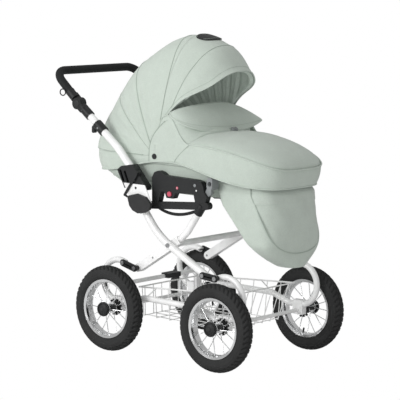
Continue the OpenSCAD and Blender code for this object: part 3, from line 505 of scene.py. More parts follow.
def wheel(tag):
    s = sizes()
    sx, sy = WHEELS[tag]
    hub = row(sx * s.axle_x, sy * s.wheel_y, s.wheel_r)
    tube = s.tyre_w / 2.0
    ring = s.wheel_r - tube
    bead = math.degrees(math.acos((s.rim_r + 0.5 - ring) / tube))

    def tread(turn, psi):
        """Depth cut into the tyre; the rings on its wall stand up."""
        a = abs(psi)
        if a > TREAD_END:
            return -0.7 if any(abs(a - q) < 2.2 for q in WALL_RINGS) else 0.0
        if GROOVE[0] < a < GROOVE[1]:
            return s.tread
        shift = 0.5 if (a > 16.0) == (psi > 0) else 0.0
        phase = (turn * s.blocks + shift + a / 60.0) % 1.0
        return s.tread if phase < GAP else 0.0

    def place(u, v):
        psi = (2.0 * v - 1.0) * bead
        r = tube - tread(u % 1.0, psi)
        radial = (ring + r * cos(psi)) / 1000.0
        return hub + Vector((radial * cos(360.0 * u), r * sin(psi) / 1000.0, radial * sin(360.0 * u)))

    ob = make("tyre_tread_" + tag, sheet_mesh(s.blocks * 8, 56, place, hub, True), [MATS["tyre_rubber"]])
    settle(ob, "wheel_" + tag, "tyre_rubber", "tyre_" + tag)
    ang = -sy * VALVE_ANGLE
    out, side = Vector((cos(ang), 0.0, sin(ang))), (0, sy, 0)
    face = row(sx * s.axle_x, sy * (s.wheel_y + 34.0), s.wheel_r)
    valve = [(0.0, -17.0), (2.6, -17.0), (3.4, -16.0), (3.4, -6.0), (2.6, -5.0), (2.6, 14.0), (0.0, 14.0)]
    cap = [(20.0, 5.2), (21.5, 6.2), (24.5, 5.2), (25.5, 3.0), (25.5, -3.0), (20.0, -3.0), (20.0, 5.2)]
    boss = [(0.0, 8.6), (5.0, 8.2), (7.5, 7.2), (8.0, 5.0), (0.0, 5.0)]
    for name, prof, origin, axis, sides, mat in (
            ("valve_", valve, hub + out * VALVE_AT, out, 16, "black_plastic"),
            ("cap_ring_", cap, face, side, 40, "black_plastic"),
            ("cap_boss_", boss, face, side, 24, "paddle_plastic")):
        turned(name + tag, prof, origin, axis, sides, mat, "wheel_" + tag, "black_plastic")


class PRAM_OT_wheels(bpy.types.Operator):
    """Tyres with tread, sidewall rings, valves and hub trim"""
    bl_idname = "pram.wheels"
    bl_label = "Wheels"

    def execute(self, context):
        for tag in WHEELS:
            wheel(tag)
        return {"FINISHED"}


# Shapes of the seat unit and hood, in millimetres and degrees

SEAM_Z = 792.0  # seam between the apron's band and its top
LAP_REAR, LAP_FRONT, LAP_TOP = -131.0, -44.0, 868.0
LID_LONG, LID_WIDE = 1.014, 1.017  # the cloth's top against its solid
FLAP_Y, FLAP_REAR = 199.0, -37.0
TUB_FLOOR, TUB_LEAN = 598.0, 170.0
RIM_Z = 708.0
PUFF, PUFF_END = 15.0, 172.0  # bulge of the hood's rear and the angle where it ends


def hem(x):
    """Lower edge of the seat's cover."""
    return 652.0 + 68.0 * math.exp(-((x + 45.0) / 240.0) ** 2)


def seam(x):
    """Height of the apron's seam."""
    return SEAM_Z if x < 60.0 else SEAM_Z - 0.00055 * (x - 60.0) ** 2


def wing(x, y):
    """Top of the apron's side; the right one falls off sooner, under the flap's drawn-back end."""
    rise = 88.0 * ease((55.0 - x) / 105.0) if y < 0 else 92.0 * ease((78.0 - x) / 105.0)
    rise += 11.0 * ease((x + 80.0) / 40.0) * ease((20.0 - x) / 45.0)
    return seam(x) + rise * ease((x + 104.0) / 50.0 + 0.25)


def taper(z):
    """Share of the seat's full outline at height z."""
    return 1.0 - 0.05 * (max(0.0, sizes().hood_z - z) / 95.0) ** 2


def oval(c, a, b, e, t):
    """Point at angle t of a rounded rectangle about c, with half sizes a and b."""
    return c + a * power(cos(t), e), b * power(sin(t), e)


def seat_x(t):
    """Place along x of the seat's outline at angle t."""
    return oval(sizes().seat_cx, sizes().seat_a, sizes().seat_b, 0.5, t)[0]


def skin(t, z, d):
    """Point of the seat's side at angle t and height z, set in by d."""
    s = sizes()
    x, y = oval(s.seat_cx, (s.seat_a - d) * taper(z), (s.seat_b - d) * taper(z), 0.5, t)
    return x, y, z


def even(t0, t1, n):
    """Angles from t0 to t1 that space points evenly on the seat's outline."""
    def root(t):
        a = math.degrees(math.atan2(power(sin(t), 0.5), power(cos(t), 0.5)))
        return a + 360.0 if t > 180.0 else a
    out = []
    for a in steps(root(t0), root(t1), n):
        t = math.degrees(math.atan2(power(sin(a), 2.0), power(cos(a), 2.0)))
        out.append(t + 360.0 if a > 180.0 and t < 0.0 else t)
    return out


def around(x):
    """Angle of the seat's outline at x, on the left side."""
    s = sizes()
    return math.degrees(math.acos(power((x - s.seat_cx) / s.seat_a, 2.0)))


def reach(phi):
    """Distance of the hood's top from its pivots at angle phi."""
    s = sizes()
    if phi < s.mid_a:
        return 398.0 + 40.0 * ease((phi - s.visor_a) / 16.0) + 4.0 * ease((phi - s.visor_a - 12.0) / 19.0)
    return (442.0 - 66.0 * ease((phi - s.mid_a + 2.0) / 36.0) - 38.0 * ease((phi - s.mid_a - 28.0) / 34.0)
            + 24.0 * ease((phi - 150.0) / 30.0))


def arch(phi, t, d):
    """Point at angle t of the hood's arch that leans at phi, set in by d."""
    s = sizes()
    e = 0.84 - 0.34 * ease((phi - 120.0) / 60.0)
    w = s.hood_w + (s.seat_b - s.hood_w) * ease((phi - 90.0) / (s.rear_a - 90.0))
    r = (reach(phi) - d) * max(0.0, sin(t)) ** e
    return s.hood_x + r * cos(phi), (w - d) * power(cos(t), e), s.hood_z + r * sin(phi)


def arch_t(v, end):
    """Angle along an arch at v, closer together at its ends."""
    h = end * (1.0 - (1.0 - abs(2.0 * v - 1.0)) ** 1.25)
    return 90.0 - h if v < 0.5 else 90.0 + h


def lid_plan(u, v):
    """Apron's top from above: u from rear to front, v across from -1 to 1."""
    s = sizes()
    a, b = s.seat_a - 7.8, s.seat_b - 6.6
    back = 94.0 - (40.0 if v < 0 else 86.0) * v * v
    su = max(0.0, 1.0 - abs(v) ** 4 / 2.0) ** 0.25
    k0 = (back - s.seat_cx) / (a * su)
    k = k0 + (1.0 - k0) * u
    return s.seat_cx + a * k * su, b * v * max(0.0, 1.0 - k ** 4 / 2.0) ** 0.25


def lid_z(u, v):
    """Height of the apron's top at lid_plan(u, v)."""
    x = lid_plan(u, v)[0]
    rise = 50.0 - 4.0 * ease((180.0 - x) / 80.0)
    return seam(x) - 4.0 + rise * max(0.0, 1.0 - abs(v) ** 2.4) ** 0.7 * max(0.0, 1.0 - u ** 6) ** 0.6


def tub_ring(k, t, d):
    """Point at angle t of the tub's outline, times k and set in by d."""
    s = sizes()
    return oval(s.tub_cx + TUB_LEAN * (1.0 - k), s.tub_a * k - d, s.tub_b * k - d, 0.56, t)


def between(rows, v):
    """The two rows around v and the share of the way between them."""
    g = v * (len(rows) - 1)
    i = min(len(rows) - 2, int(g))
    return rows[i], rows[i + 1], g - i


def boot_side(z):
    """Front, back and half width of the boot at height z."""
    s = sizes()
    tuck = ease((z - 625.0) / 29.0)
    collar = ease((z - 656.0) / (s.boot_top - 656.0))
    back = 226.0 - max(0.0, 635.0 - z) * 0.72 if z > 600.0 else 199.0 + (560.0 - z) * 0.76
    front = s.boot_front - (22.0 * ((z - 470.0) / 185.0) ** 2 if z > 470.0 else 0.0) - 10.0 * tuck + 25.0 * collar
    low = max(0.0, (455.0 - z) / (455.0 - s.boot_z))
    b = (162.0 - 12.0 * tuck - 25.0 * collar) * (1.0 - 0.7 * low ** 1.7)
    return front, min(front - 9.0, back - 8.0 * low * low), b


def boot_point(t, z, d=0.0):
    """Point of the boot at angle t: square behind, rounder in front."""
    front, back, b = boot_side(z)
    x, y = oval((front + back) / 2.0, (front - back) / 2.0 - d, b - d, 0.8 if cos(t) > 0.0 else 0.55, t)
    return x, y, z


def boot_wall(x, z):
    """Half width of the boot at x: flat behind its middle, rounded in front."""
    front, back, b = boot_side(z)
    q = max(0.0, min(1.0, (2.0 * x - front - back) / (front - back)))
    return b * (1.0 - q ** 2.5) ** 0.4


def boot_edge(z):
    """Place along x of the seam between the boot's side and its front panel."""
    return min(boot_side(z)[0], 306.0 + 0.513 * (650.0 - min(z, 650.0)))


def flap_point(u, w):
    """Point of the wind flap: u from right to left, w from its lower edge up."""
    q = sin(180.0 * u - 90.0)
    c = max(0.0, 1.0 - q * q)
    right = q < 0
    x = FLAP_REAR if right else 72.0
    z = wing(x - 4.0, q) + 5.0 if right else 858.0

    def edge(mid_x, mid_z, low, ex, ez):
        ex, ez = (ex, ez) if right else (1.0, 1.0)
        return Vector((x + (mid_x - x) * c ** ex, FLAP_Y * q, low + (mid_z - low) * c ** ez))
    f = edge(92.0, 834.1, z, 0.4, 0.3)
    g = edge(22.0, 932.0, z + 3.0, 0.5, 0.45)
    return f + (g - f) * w + 10.0 * c * sin(180.0 * w) * Vector((0.82, 0.0, 0.57))


def visor(t):
    """Angle of the visor's edge, swept back towards the pivots."""
    return min(80.0, sizes().visor_a + 24.0 * max(0.0, (abs(t - 90.0) - 32.0) / 44.0) ** 1.8)


# Seat unit

def band(name, t0, t1, n, node, top):
    """Wall of cloth around part of the seat, from its hem up to top(x, y)."""
    turns = even(t0, t1, n)

    def place(u, v):
        t = turns[round(u * n)]
        low = hem(seat_x(t))
        z = low + (top(seat_x(t), sin(t)) - low) * v
        p = skin(t, z, 0.0)
        swell = 2.0 * math.sin(math.pi * v) + crumple(*p, 90.0, 1.6) + crumple(*p, 34.0, 0.7)
        return row(*skin(t, z, -swell))
    s = sizes()
    sewn(name, sheet_mesh(n, 22, place, row(s.seat_cx, 0, 740)), LINED, s.cloth_t, "seat_adapters", node)


def covers():
    s = sizes()
    t = around(s.hood_x + 1.0)
    band("apron_band_cloth", -t, t, 220, "apron_band", wing)
    t = around(s.hood_x - 1.0)
    band("rear_cover_cloth", t, 360.0 - t, 150, "seat_cover", lambda x, y: s.hood_z - 0.3)
    line = [skin(a, hem(seat_x(a)), -1.0) for a in even(0.0, 360.0, 260)[:-1]]
    piping("hem_piping", line, 2.6, "seat", mat="sage_cloth", sides=8, closed=True)
    for name, x, drop, d, r in (("apron_seam", 60.0, 0.0, -1.5, 3.2), ("apron_tuck", 100.0, 5.0, 4.5, 4.2)):
        line = [skin(a, seam(seat_x(a)) - drop, d) for a in even(-around(x), around(x), 150)]
        piping(name, line, r, "seat", mat="sage_cloth")
    for side, tag, front in ((-1, "right", -36.0), (1, "left", 118.0)):
        edge = [skin(side * around(x), wing(x, side), -0.6) for x in steps(-100.0, front, 60)]
        piping("wing_edge_" + tag, edge, 2.2, "seat", mat="sage_cloth")


def laps():
    """Rear edge of the apron's sides, lapped over the hood's pivots."""
    low = hem(LAP_REAR) + 3.0

    def rear(z):
        return LAP_REAR + 98.0 * max(0.0, (z - 745.0) / 138.0) ** 2.2
    for side, tag in SIDES:
        def place(u, v):
            z = low + (LAP_TOP + 3.0 - low) * v
            x = rear(z) + (LAP_FRONT - rear(z)) * u
            lift = 2.6 - 1.6 * u + crumple(x, side * 200.0, z, 60.0, 0.5)
            return row(*skin(side * around(x), z, -lift))
        bm = sheet_mesh(24, 40, place, row(sizes().seat_cx, 0, 740))
        sewn("apron_lap_" + tag, bm, SINGLE, 1.4, "apron_band_cloth")
        edge = [skin(side * around(rear(z)), z, -2.8) for z in steps(low, LAP_TOP, 50)]
        piping("lap_edge_" + tag, edge, 1.3, "seat")


def lid():
    s = sizes()

    def place(u, v):
        q = 2.0 * v - 1.0
        x, y = lid_plan(u, q)
        uneven = crumple(x, y, 0.0, 80.0, 2.6) + crumple(x, y, 5.0, 30.0, 0.9)
        z = lid_z(u, q) + uneven * (1.0 - abs(q) ** 6) * (1.0 - u ** 8) + 3.2 * max(abs(q), u) ** 4
        return row(s.seat_cx + (x - s.seat_cx) * LID_LONG, y * LID_WIDE, z)
    bm = sheet_mesh(72, 84, place, row(200, 0, 600))
    sewn("apron_top_cloth", bm, LINED, s.cloth_t, "apron_band_cloth", "apron_top")


def flap():
    bm = sheet_mesh(96, 24, lambda u, w: row(*flap_point(u, 1.04 * w - 0.04)), row(-120, 0, 800))
    sewn("wind_flap_cloth", bm, SINGLE, 5.0, "apron_top_cloth", "apron_flap")
    collar()
    for name, us, w, shift, r, mat in (
            ("flap_low_edge", steps(0.0, 1.0, 80), -0.04, (-1.0, 0.0, -0.5), 4.2, "sage_cloth"),
            ("flap_top_edge", steps(0.0, 1.0, 60), 1.0, (-1.6, 0.0, -1.0), 2.2, "sage_cloth"),
            ("flap_stitch", steps(0.06, 0.94, 60), 0.13, (0.2, 0.0, 0.2), 0.6, "seam_shade_cloth")):
        piping(name, [flap_point(u, w) + Vector(shift) for u in us], r, "seat", mat=mat)


def collar():
    """Shoulder of cloth from the apron's side and the lid's rear up to the flap."""
    def base(q):
        """Lower edge: the right side's top, the lid's rear edge, the left half."""
        if q < -0.55:
            f = (q + 1.0) / 0.45
            x = FLAP_REAR + 93.0 * f ** 0.8
            return Vector((x, -198.6 + 4.6 * f ** 2, wing(x, -1.0) - 1.0))
        if q < 0.0:
            x, y = lid_plan(0.0, q / 0.55)
            return Vector((x + 3.0, y, lid_z(0.0, q / 0.55) - 2.0))
        return Vector((97.0 - 86.0 * q ** 3, 192.0 * q, 788.0 + 46.0 * (1.0 - q ** 2.4) ** 0.7))

    def place(u, w):
        up = flap_point(u, 0.04)
        q = up.y / FLAP_Y
        tuck = 1.0 - q ** 8
        up += Vector((-9.0 * tuck - 40.0 * max(0.0, q) ** 4, -0.02 * tuck * up.y, 2.0))
        low = base(max(-1.0, min(1.0, q)))
        p = low + (up - low) * w
        swell = math.sin(math.pi * w) * (1.0 - q * q)
        p += swell * Vector((4.0, -12.0 if q < 0 else 0.0, 5.0))
        p.z += crumple(*p, 50.0, 1.0)
        return row(*p)
    for tag, first in (("right", 0.0), ("left", 0.5)):
        bm = sheet_mesh(55, 18, lambda u, w: place(first + u / 2.0, w), row(-120, 0, 800))
        sewn("apron_collar_" + tag, bm, LINED, 2.0, "apron_top_cloth", length=statistics.median)
    low = hem(-10.0)
    line = [skin(-around(-10.0 + 70.0 * f), low + 4.0 + (786.0 - low) * f ** 0.8, -1.6)
            for f in steps(0.0, 1.0, 30)]
    line += [(*lid_plan(0.0, q), lid_z(0.0, q) + 2.0) for q in steps(-0.97, -0.2, 40)]
    piping("apron_rear_seam", line, 1.2, "seat")


def boot():
    s = sizes()
    sole = 0.08  # share of the sheet that closes the bottom

    def place(u, v):
        t = 360.0 * u
        if v < sole:
            f = v / sole
            x, y, z = boot_point(t, s.boot_z)
            cx = sum(boot_side(s.boot_z)[:2]) / 2.0
            return row(cx + (x - cx) * f, y * f, z - 3.0 * (1.0 - f * f))
        p = boot_point(t, s.boot_z + (s.boot_top - s.boot_z) * (v - sole) / (1.0 - sole))
        z = p[2]
        fade = ease((z - s.boot_z) / 60.0) * ease((650.0 - z) / 60.0)
        fold = 2.2 * math.sin(math.radians(t) * 9.0 + z / 40.0) * ease((z - 540.0) / 90.0)
        k = fade * (crumple(*p, 70.0, 4.0) + crumple(*p, 28.0, 1.2) + fold)
        return row(*boot_point(t, z, -k * 0.8 + 0.8))
    centre = row(330, 0, 560)
    bm = sheet_mesh(144, 80, place, centre, True)
    sewn("boot_cloth", bm, LINED, s.cloth_t, "rim_band_cloth", "boot", held="hung")
    line = []
    for q in steps(-1.0, 1.0, 160):
        z = 420.0 + 232.0 * q * q
        x = boot_edge(z)
        line.append((x + 1.2, math.copysign(boot_wall(x, z) + 1.2 * abs(q), q), z))
    piping("boot_seam", line, 1.3, "seat")
    for side, tag in SIDES:
        def gusset(u, v):
            z = 430.0 + 261.0 * v
            x0 = 190.0 + (582.0 - z) * (0.895 if z < 582.0 else 0.45)
            x = x0 + (boot_edge(z) - x0) * u
            y = boot_wall(x, z) + 1.0 - 7.0 * max(0.0, 1.0 - v / 0.15) + crumple(x, side * 160.0, z, 60.0, 1.5)
            return row(x, side * (y + math.sin(9.0 * u) * (1.0 - u)), z)
        sewn("boot_gusset_" + tag, sheet_mesh(30, 60, gusset, centre), LINED, 2.0, "rim_band_cloth", held="hung")


def tub():
    s = sizes()
    levels = [(0.0, TUB_FLOOR), (0.7, TUB_FLOOR), (0.86, 614.0), (0.985, 654.0), (1.0, None)]

    def top(x):
        return 716.0 - 56.0 * ease((x - 40.0) / 160.0)

    def place(u, v):
        (k0, z0), (k1, z1), f = between(levels, v)
        if k0 == 0.0:
            cx = s.tub_cx + TUB_LEAN * (1.0 - k1)
            x, y = tub_ring(k1, 360.0 * u, 0.4)
            return row(cx + (x - cx) * f, y * f, TUB_FLOOR)
        x, y = tub_ring(k0 + (k1 - k0) * f, 360.0 * u, 0.4)
        return row(x, y, z0 + ((z1 or top(x)) - z0) * f)
    bm = sheet_mesh(120, 40, place, row(s.tub_cx, 0, 680), True)
    ob = make("tub_cloth_skin", bm, [MATS["tub_cloth"], MATS["lining_cloth"]])
    settle(thicken(ob, 7.0, 1), "seat", "tub_cloth", "seat_shell")
    line = [(*tub_ring(0.93, a, -0.6), 636.5) for a in steps(0.0, 360.0, 160)[:-1]]
    piping("tub_seam", line, 1.4, "seat", "tub_cloth", closed=True)

    def rim(u, v):
        x = skin(360.0 * u, RIM_Z, 5.6)[0]
        return row(*skin(360.0 * u, RIM_Z - 26.0 * ease((x - 120.0) / 250.0) + 18.0 * v, 5.8))
    ob = make("rim_band_cloth", sheet_mesh(160, 4, rim, row(s.seat_cx, 0, 715), True), [MATS["tub_cloth"]])
    settle(thicken(ob, 4.6), "seat", "tub_cloth", "seat_rim")


def mattress():
    rows = [(0.02, 607.5), (0.6, 607.5), (0.78, 622.0), (0.86, 640.0), (0.86, 655.0), (0.78, 665.0),
            (0.5, 669.0), (0.02, 669.0)]

    def place(u, v):
        (k0, z0), (k1, z1), f = between(rows, v)
        k = k0 + (k1 - k0) * f
        return row(*tub_ring(k, 360.0 * u, 4.0 * min(1.0, k * 2.0)), z0 + (z1 - z0) * f)
    bm = sheet_mesh(72, 42, place, row(sizes().tub_cx + 40, 0, 640), True)
    ob = make("mattress_pad", bm, [MATS["pad_cloth"]])
    puff_up(ob, 5.0, 0.006)
    settle(ob, "seat", "pad_cloth", "seat_pad")
    for k, y in enumerate((-90.0, 0.0, 90.0)):
        line = [(x, y, 671.5) for x in steps(-330.0, 120.0, 30)]
        piping("pad_channel_%d" % k, line, 1.2, "seat", "pad_cloth", "lining_cloth")


class PRAM_OT_seat(bpy.types.Operator):
    """Cloth of the seat unit: tub, covers, apron, flap and boot"""
    bl_idname = "pram.seat"
    bl_label = "Seat unit"

    def execute(self, context):
        for build in (covers, laps, lid, flap, boot, tub, mattress):
            build()
        return {"FINISHED"}


def puff_up(ob, voxel_mm, cap):
    """Cloth with inner pressure, kept in the mesh; no point moves over cap metres."""
    scene = bpy.context.scene
    frames = 20
    bpy.context.view_layer.objects.active = ob
    mod = ob.modifiers.new("remesh", "REMESH")
    mod.mode = "VOXEL"
    mod.voxel_size = voxel_mm / 1000.0
    bpy.ops.object.modifier_apply(modifier=mod.name)
    rest = [v.co.copy() for v in ob.data.vertices]
    mod = ob.modifiers.new("cloth", "CLOTH")
    mod.settings.use_pressure = True
    mod.settings.uniform_pressure_force = 4.0
    mod.settings.effector_weights.gravity = 0.0
    mod.point_cache.frame_end = frames
    for f in range(1, frames + 1):
        scene.frame_set(f)
    bpy.ops.object.modifier_apply(modifier=mod.name)
    scene.frame_set(1)
    for v, p in zip(ob.data.vertices, rest):
        d = v.co - p
        if d.length > cap:
            v.co = p + d * (cap / d.length)
    ob.data.polygons.foreach_set("use_smooth", [True] * len(ob.data.polygons))


# Hood

def bend():
    """Blend of the folding panel: the seat behind, the hood at the middle bow."""
    s = sizes()
    pivot = row(s.hood_x, 0, s.hood_z)
    return "seat", "hood", pivot + 0.27 * Vector((-sin(s.mid_a), 0.0, cos(s.mid_a))), pivot


def outer(phi, t):
    """Outer cloth: sags before the middle bow, bulges and fans out behind it."""
    s = sizes()
    sag = 3.5 * math.sin(math.pi * ease((phi - 56.0) / 26.0)) if 56.0 < phi < 82.0 else 0.0
    if s.mid_a < phi < PUFF_END:
        swell = math.sin(math.pi * (phi - s.mid_a) / (PUFF_END - s.mid_a)) ** 1.5
        sag = -PUFF * swell * ease((sin(t) - 0.25) / 0.6)
    p = arch(phi, t, 0.0)
    sag += crumple(*p, 110.0, 2.2) + crumple(*p, 40.0, 0.8)
    fan = 2.6 * math.sin(phi * 0.55) * ease((sin(t) - 0.1) / 0.3) * ease((0.92 - sin(t)) / 0.4)
    return arch(phi, t, sag * max(0.0, sin(t)) + fan * ease((phi - 95.0) / 20.0))


def inner(phi, t):
    """Lining in loose folds, flat at the rear's sides."""
    s = sizes()
    d = 4.0 + 13.0 * ease((phi - visor(t) - 0.3) / 1.8)
    fold = math.sin(phi * 0.62 + 1.4 * sin(t * 2.0)) + 0.5 * math.sin(phi * 1.35 + t / 15.0)
    d += 4.2 * (1.0 + fold / 1.5) * ease((phi - 58.0) / 6.0) * ease((sin(t) - 0.05) / 0.3)
    flat = ease((phi - s.rear_a) / 3.0) * (1.0 - ease((sin(t) - 0.6) / 0.3))
    return arch(phi, t, d + (4.0 - d) * flat)


def panel(name, p0, p1, n, surface, mats, thick, body, *nodes, end=89.8):
    """Panel from angle p0 to p1; the front one starts at the visor's edge."""
    s = sizes()

    def place(u, v):
        t = arch_t(v, end)
        first = p0 if p0 > s.mid_a - 1.0 else visor(t) + p0 - s.visor_a
        return row(*surface(first + (p1 - first) * u, t))
    bm = sheet_mesh(n, 120, place, row(s.hood_x, 0, s.hood_z + 60))
    sewn(name, bm, mats, thick, "hood_bows", *nodes, body=body)


def seams():
    s = sizes()
    ts = [arch_t(v, 88.6) for v in steps(0.0, 1.0, 90)]

    def line(phi, off=0.6, bow=0.0):
        """Line over the cloth at phi; by the visor's edge it follows that edge."""
        edge = phi < s.visor_a + 4.0
        out = []
        for t in ts:
            a = visor(t) + phi - s.visor_a if edge else phi + bow * sin(t) ** 3
            if edge or a >= visor(t) + 1.0:
                p = Vector(outer(a, t))
                c = Vector((s.hood_x, p.y * 0.3, s.hood_z))
                out.append(p + (p - c).normalized() * off)
        return out
    piping("visor_hem", line(s.visor_a + 0.1, 0.2), 2.6, "hood", mat="sage_cloth")
    piping("visor_stitch", line(s.visor_a + 3.0, 0.1), 0.7, "hood")
    piping("front_seam", line(72.0, 0.6, -3.1), 1.2, "hood")
    piping("bow_seam", line(s.mid_a, 0.6, 5.0), 1.4, bend())
    piping("rear_seam", line(119.0), 1.3, bend())
    piping("tail_seam", line(s.rear_a + 0.6, 0.3), 0.9, "seat")
    piping("hood_low_seam", [arch(179.6, t, -0.8) for t in ts], 1.7, "seat")


def hood_grip():
    """Leather strip on the middle bow, g across it and h along it."""
    s = sizes()

    def at(g, h, lift):
        wide = 4.6 * max(0.0, 1.0 - abs(h) ** 2.6) ** 0.5 + 0.25
        return arch(s.mid_a - 4.6 + wide * g, 90.0 + 12.5 * h, -lift)

    def place(u, v):
        g, h = 2.0 * u - 1.0, 2.0 * v - 1.0
        return row(*at(g, h, 1.2 + 4.2 * max(0.0, (1.0 - g ** 6) * (1.0 - h ** 8)) ** 0.5))
    bm = sheet_mesh(26, 60, place, row(s.hood_x, 0, s.hood_z))
    ob = make("hood_grip_leather", bm, [MATS["black_leather"]])
    settle(thicken(ob, 1.0), "hood", "black_leather", "hood_grip")
    for k, g in enumerate((-0.82, 0.82)):
        line = [at(g, h, 5.3) for h in steps(-0.92, 0.92, 40)]
        piping("grip_stitch_%d" % k, line, 0.5, "hood", "black_leather", "lining_cloth")


class PRAM_OT_hood(bpy.types.Operator):
    """Hood panels, lining, seams and grip"""
    bl_idname = "pram.hood"
    bl_label = "Hood"

    def execute(self, context):
        s = sizes()
        for name, p0, p1, n, body in (
                ("front", s.visor_a, s.mid_a, 40, "hood"), ("mid", s.mid_a, s.rear_a, 64, bend()),
                ("rear", s.rear_a, 180.0, 44, "seat")):
            panel("hood_%s_cloth" % name, p0, p1, n, outer, LINED, s.cloth_t, body, "hood_" + name)
        for name, p0, p1, n, body, end in (
                ("front", 53.4, s.mid_a, 60, "hood", 88.6), ("mid", s.mid_a, s.rear_a, 90, bend(), 88.6),
                ("rear", s.rear_a, 179.0, 44, "seat", 84.0)):
            # the linings take the glowing material: painted light inside the hood
            panel("lining_" + name, p0, p1, n, inner, ("hood_lining",), 1.2, body, end=end)
        seams()
        hood_grip()
        return {"FINISHED"}


# Handle and small trim

KNUCKLE, BAR = Vector((-462.0, 906.0)), Vector((-594.0, 1020.0))  # x and z of the bar's pivot and its far end
BEND_R, GRIP_START = 56.0, 60.0


def foam_grip():
    y1 = sizes().outer_y
    length = (BAR - KNUCKLE).length
    u = (BAR - KNUCKLE) / length
    bend = length - BEND_R
    flat = [(a, y1) for a in steps(GRIP_START, bend, 12)]
    flat += [(bend + BEND_R * sin(a), y1 - BEND_R + BEND_R * cos(a)) for a in steps(0.0, 90.0, 18)[1:]]
    flat += [(length, y) for y in steps(y1 - BEND_R, 0.0, 20)[1:]]
    flat += [(a, -y) for a, y in reversed(flat[:-1])]
    pts = [row(KNUCKLE.x + u.x * a, y, KNUCKLE.y + u.y * a) for a, y in flat]
    bm = tube_mesh(pts, 0.0158, 28, up=Vector((u.y, 0.0, -u.x)))
    settle(make("foam_grip_skin", bm, [MATS["foam_grip"]]), "bar", "foam_grip", "handle_grip")
    prof = [(11.2, -3.0), (16.6, -3.0), (17.4, -1.0), (17.4, 5.0), (16.4, 6.5), (11.2, 6.5), (11.2, -3.0)]
    for tag, end, inside in (("right", pts[-1], pts[-2]), ("left", pts[0], pts[1])):
        turned("grip_collar_" + tag, prof, end, inside - end, 32, "black_plastic", "bar", "black_tube")


def loop():
    pts = [row(-531.0 - 14.0 * sin(a), -246.0, 944.0 + 12.0 * cos(a)) for a in steps(-90.0, 270.0, 40)[:-1]]
    bm = tube_mesh(pts, 0.0022, 8, True, up=Vector((0, 1, 0)))
    settle(make("strap_loop", bm, [MATS["black_plastic"]]), "bar", "black_tube")


def strap():
    """Slack strap that hangs under the right seat mount."""
    pts = []
    for f in steps(0.0, 1.0, 24):
        sag = 88.0 * f * (1.0 - f) * (1.0 + 0.25 * (0.5 - f))
        pts.append(row(-84.0 + 198.0 * f, -199.0, 549.0 + 13.0 * f - sag))
    ob = make("frame_strap", tube_mesh(pts, 0.0015, 10, flat=4.0), [MATS["strap_web"]])
    settle(ob, "chassis", "black_plastic")


def studs(side, tag):
    s = sizes()
    y, mount = s.outer_y, 211.0
    for name, x, out, z, r, height, mat, body in (
            ("knuckle_rivet_", -432.0, y + 16.0, 883.5, 5.0, 2.0, "grey_plastic", "handle"),
            ("knuckle_cap_", KNUCKLE.x, y + 16.0, KNUCKLE.y, 15.0, 3.0, "paddle_plastic", "handle"),
            ("latch_rivet_", -350.0, y + 18.6, 822.0, 4.0, 1.6, "grey_plastic", "latch_" + tag[0]),
            ("sleeve_rivet_", -168.0, 242.4, 645.0, 5.0, 2.0, "grey_plastic", "handle"),
            ("lock_dot_", 14.0, mount, 631.0, 5.5, 1.0, "red_plastic", "seat"),
            ("lock_pip_", 14.0, mount + 0.9, 631.0, 2.0, 0.8, "white_paint", "seat"),
            ("adapter_screw_", 97.0, mount, 648.0, 6.0, 1.4, "grey_plastic", "seat"),
            ("adapter_pip_", 105.0, mount, 630.0, 3.4, 1.0, "white_paint", "seat"),
            ("plate_screw_", -155.0, 246.4, 618.0, 5.0, 2.0, "black_plastic", "handle"),
            ("leg_screw_1_", -20.0, 212.9, 410.0, 4.0, 1.4, "bolt_steel", "chassis"),
            ("leg_screw_2_", -96.0, 212.9, 363.0, 4.0, 1.4, "bolt_steel", "chassis")):
        slot = mat if mat in ("red_plastic", "bolt_steel") else "black_plastic"
        stud(name + tag, x, side * out, z, r, height, mat, body, slot)
    for sx, end in ((-1, "rear"), (1, "front")):
        for k, (dx, dz) in enumerate(((-12.0, -6.0), (12.0, -6.0), (0.0, 22.0))):
            stud("bracket_screw_%s_%s_%d" % (end, tag, k), sx * s.axle_x + dx, side * 229.8, s.wheel_r + dz,
                 3.2, 1.2, "black_plastic", "chassis", "bolt_steel")


class PRAM_OT_trim(bpy.types.Operator):
    """Foam grip, rivets, strap loop and screws"""
    bl_idname = "pram.trim"
    bl_label = "Handle and trim"

    def execute(self, context):
        foam_grip()
        loop()
        strap()
        for side, tag in SIDES:
            studs(side, tag)
        prof = [(0.0, 3.0), (6.0, 2.6), (8.5, 1.2), (9.0, -1.0), (0.0, -1.0)]
        for k, y in enumerate((-1.0, 17.0)):
            turned("flap_clip_%d" % k, prof, row(99.0, y, 838.0), (0.8, 0.0, 0.6), 24, "grey_plastic", "seat",
                   "grey_plastic")
        return {"FINISHED"}


# Stage: the camera was solved from the photo, 400 pixels wide

AZIMUTH, ELEVATION, ROLL = 40.096, 7.8286, 1.062436
FOCAL_PX, PHOTO_PX, SENSOR_MM = 1874.4, 400.0, 36.0
CAMERA_AT = (4.40109, -5.29151, 1.51192)
WHITE = (1.0, 1.0, 1.0, 1.0)


def camera(scene):
    back = Vector((sin(AZIMUTH) * cos(ELEVATION), -cos(AZIMUTH) * cos(ELEVATION), sin(ELEVATION)))
    right = Vector((cos(AZIMUTH), sin(AZIMUTH), 0.0))
    up = back.cross(right)
    r = right * cos(ROLL) + up * sin(ROLL)
    u = up * cos(ROLL) - right * sin(ROLL)
    cam = bpy.data.cameras.new("camera")
    cam.lens = FOCAL_PX * SENSOR_MM / PHOTO_PX
    cam.sensor_width = SENSOR_MM
    cam.sensor_fit = "HORIZONTAL"
    cam.clip_end = 200.0
    cam.dof.use_dof = False
    ob = bpy.data.objects.new("camera", cam)
    scene.collection.objects.link(ob)
    m = Matrix((r, u, back)).transposed().to_4x4()
    m.translation = Vector(CAMERA_AT) + row(0, 0, 0)
    ob.matrix_world = m
    scene.camera = ob


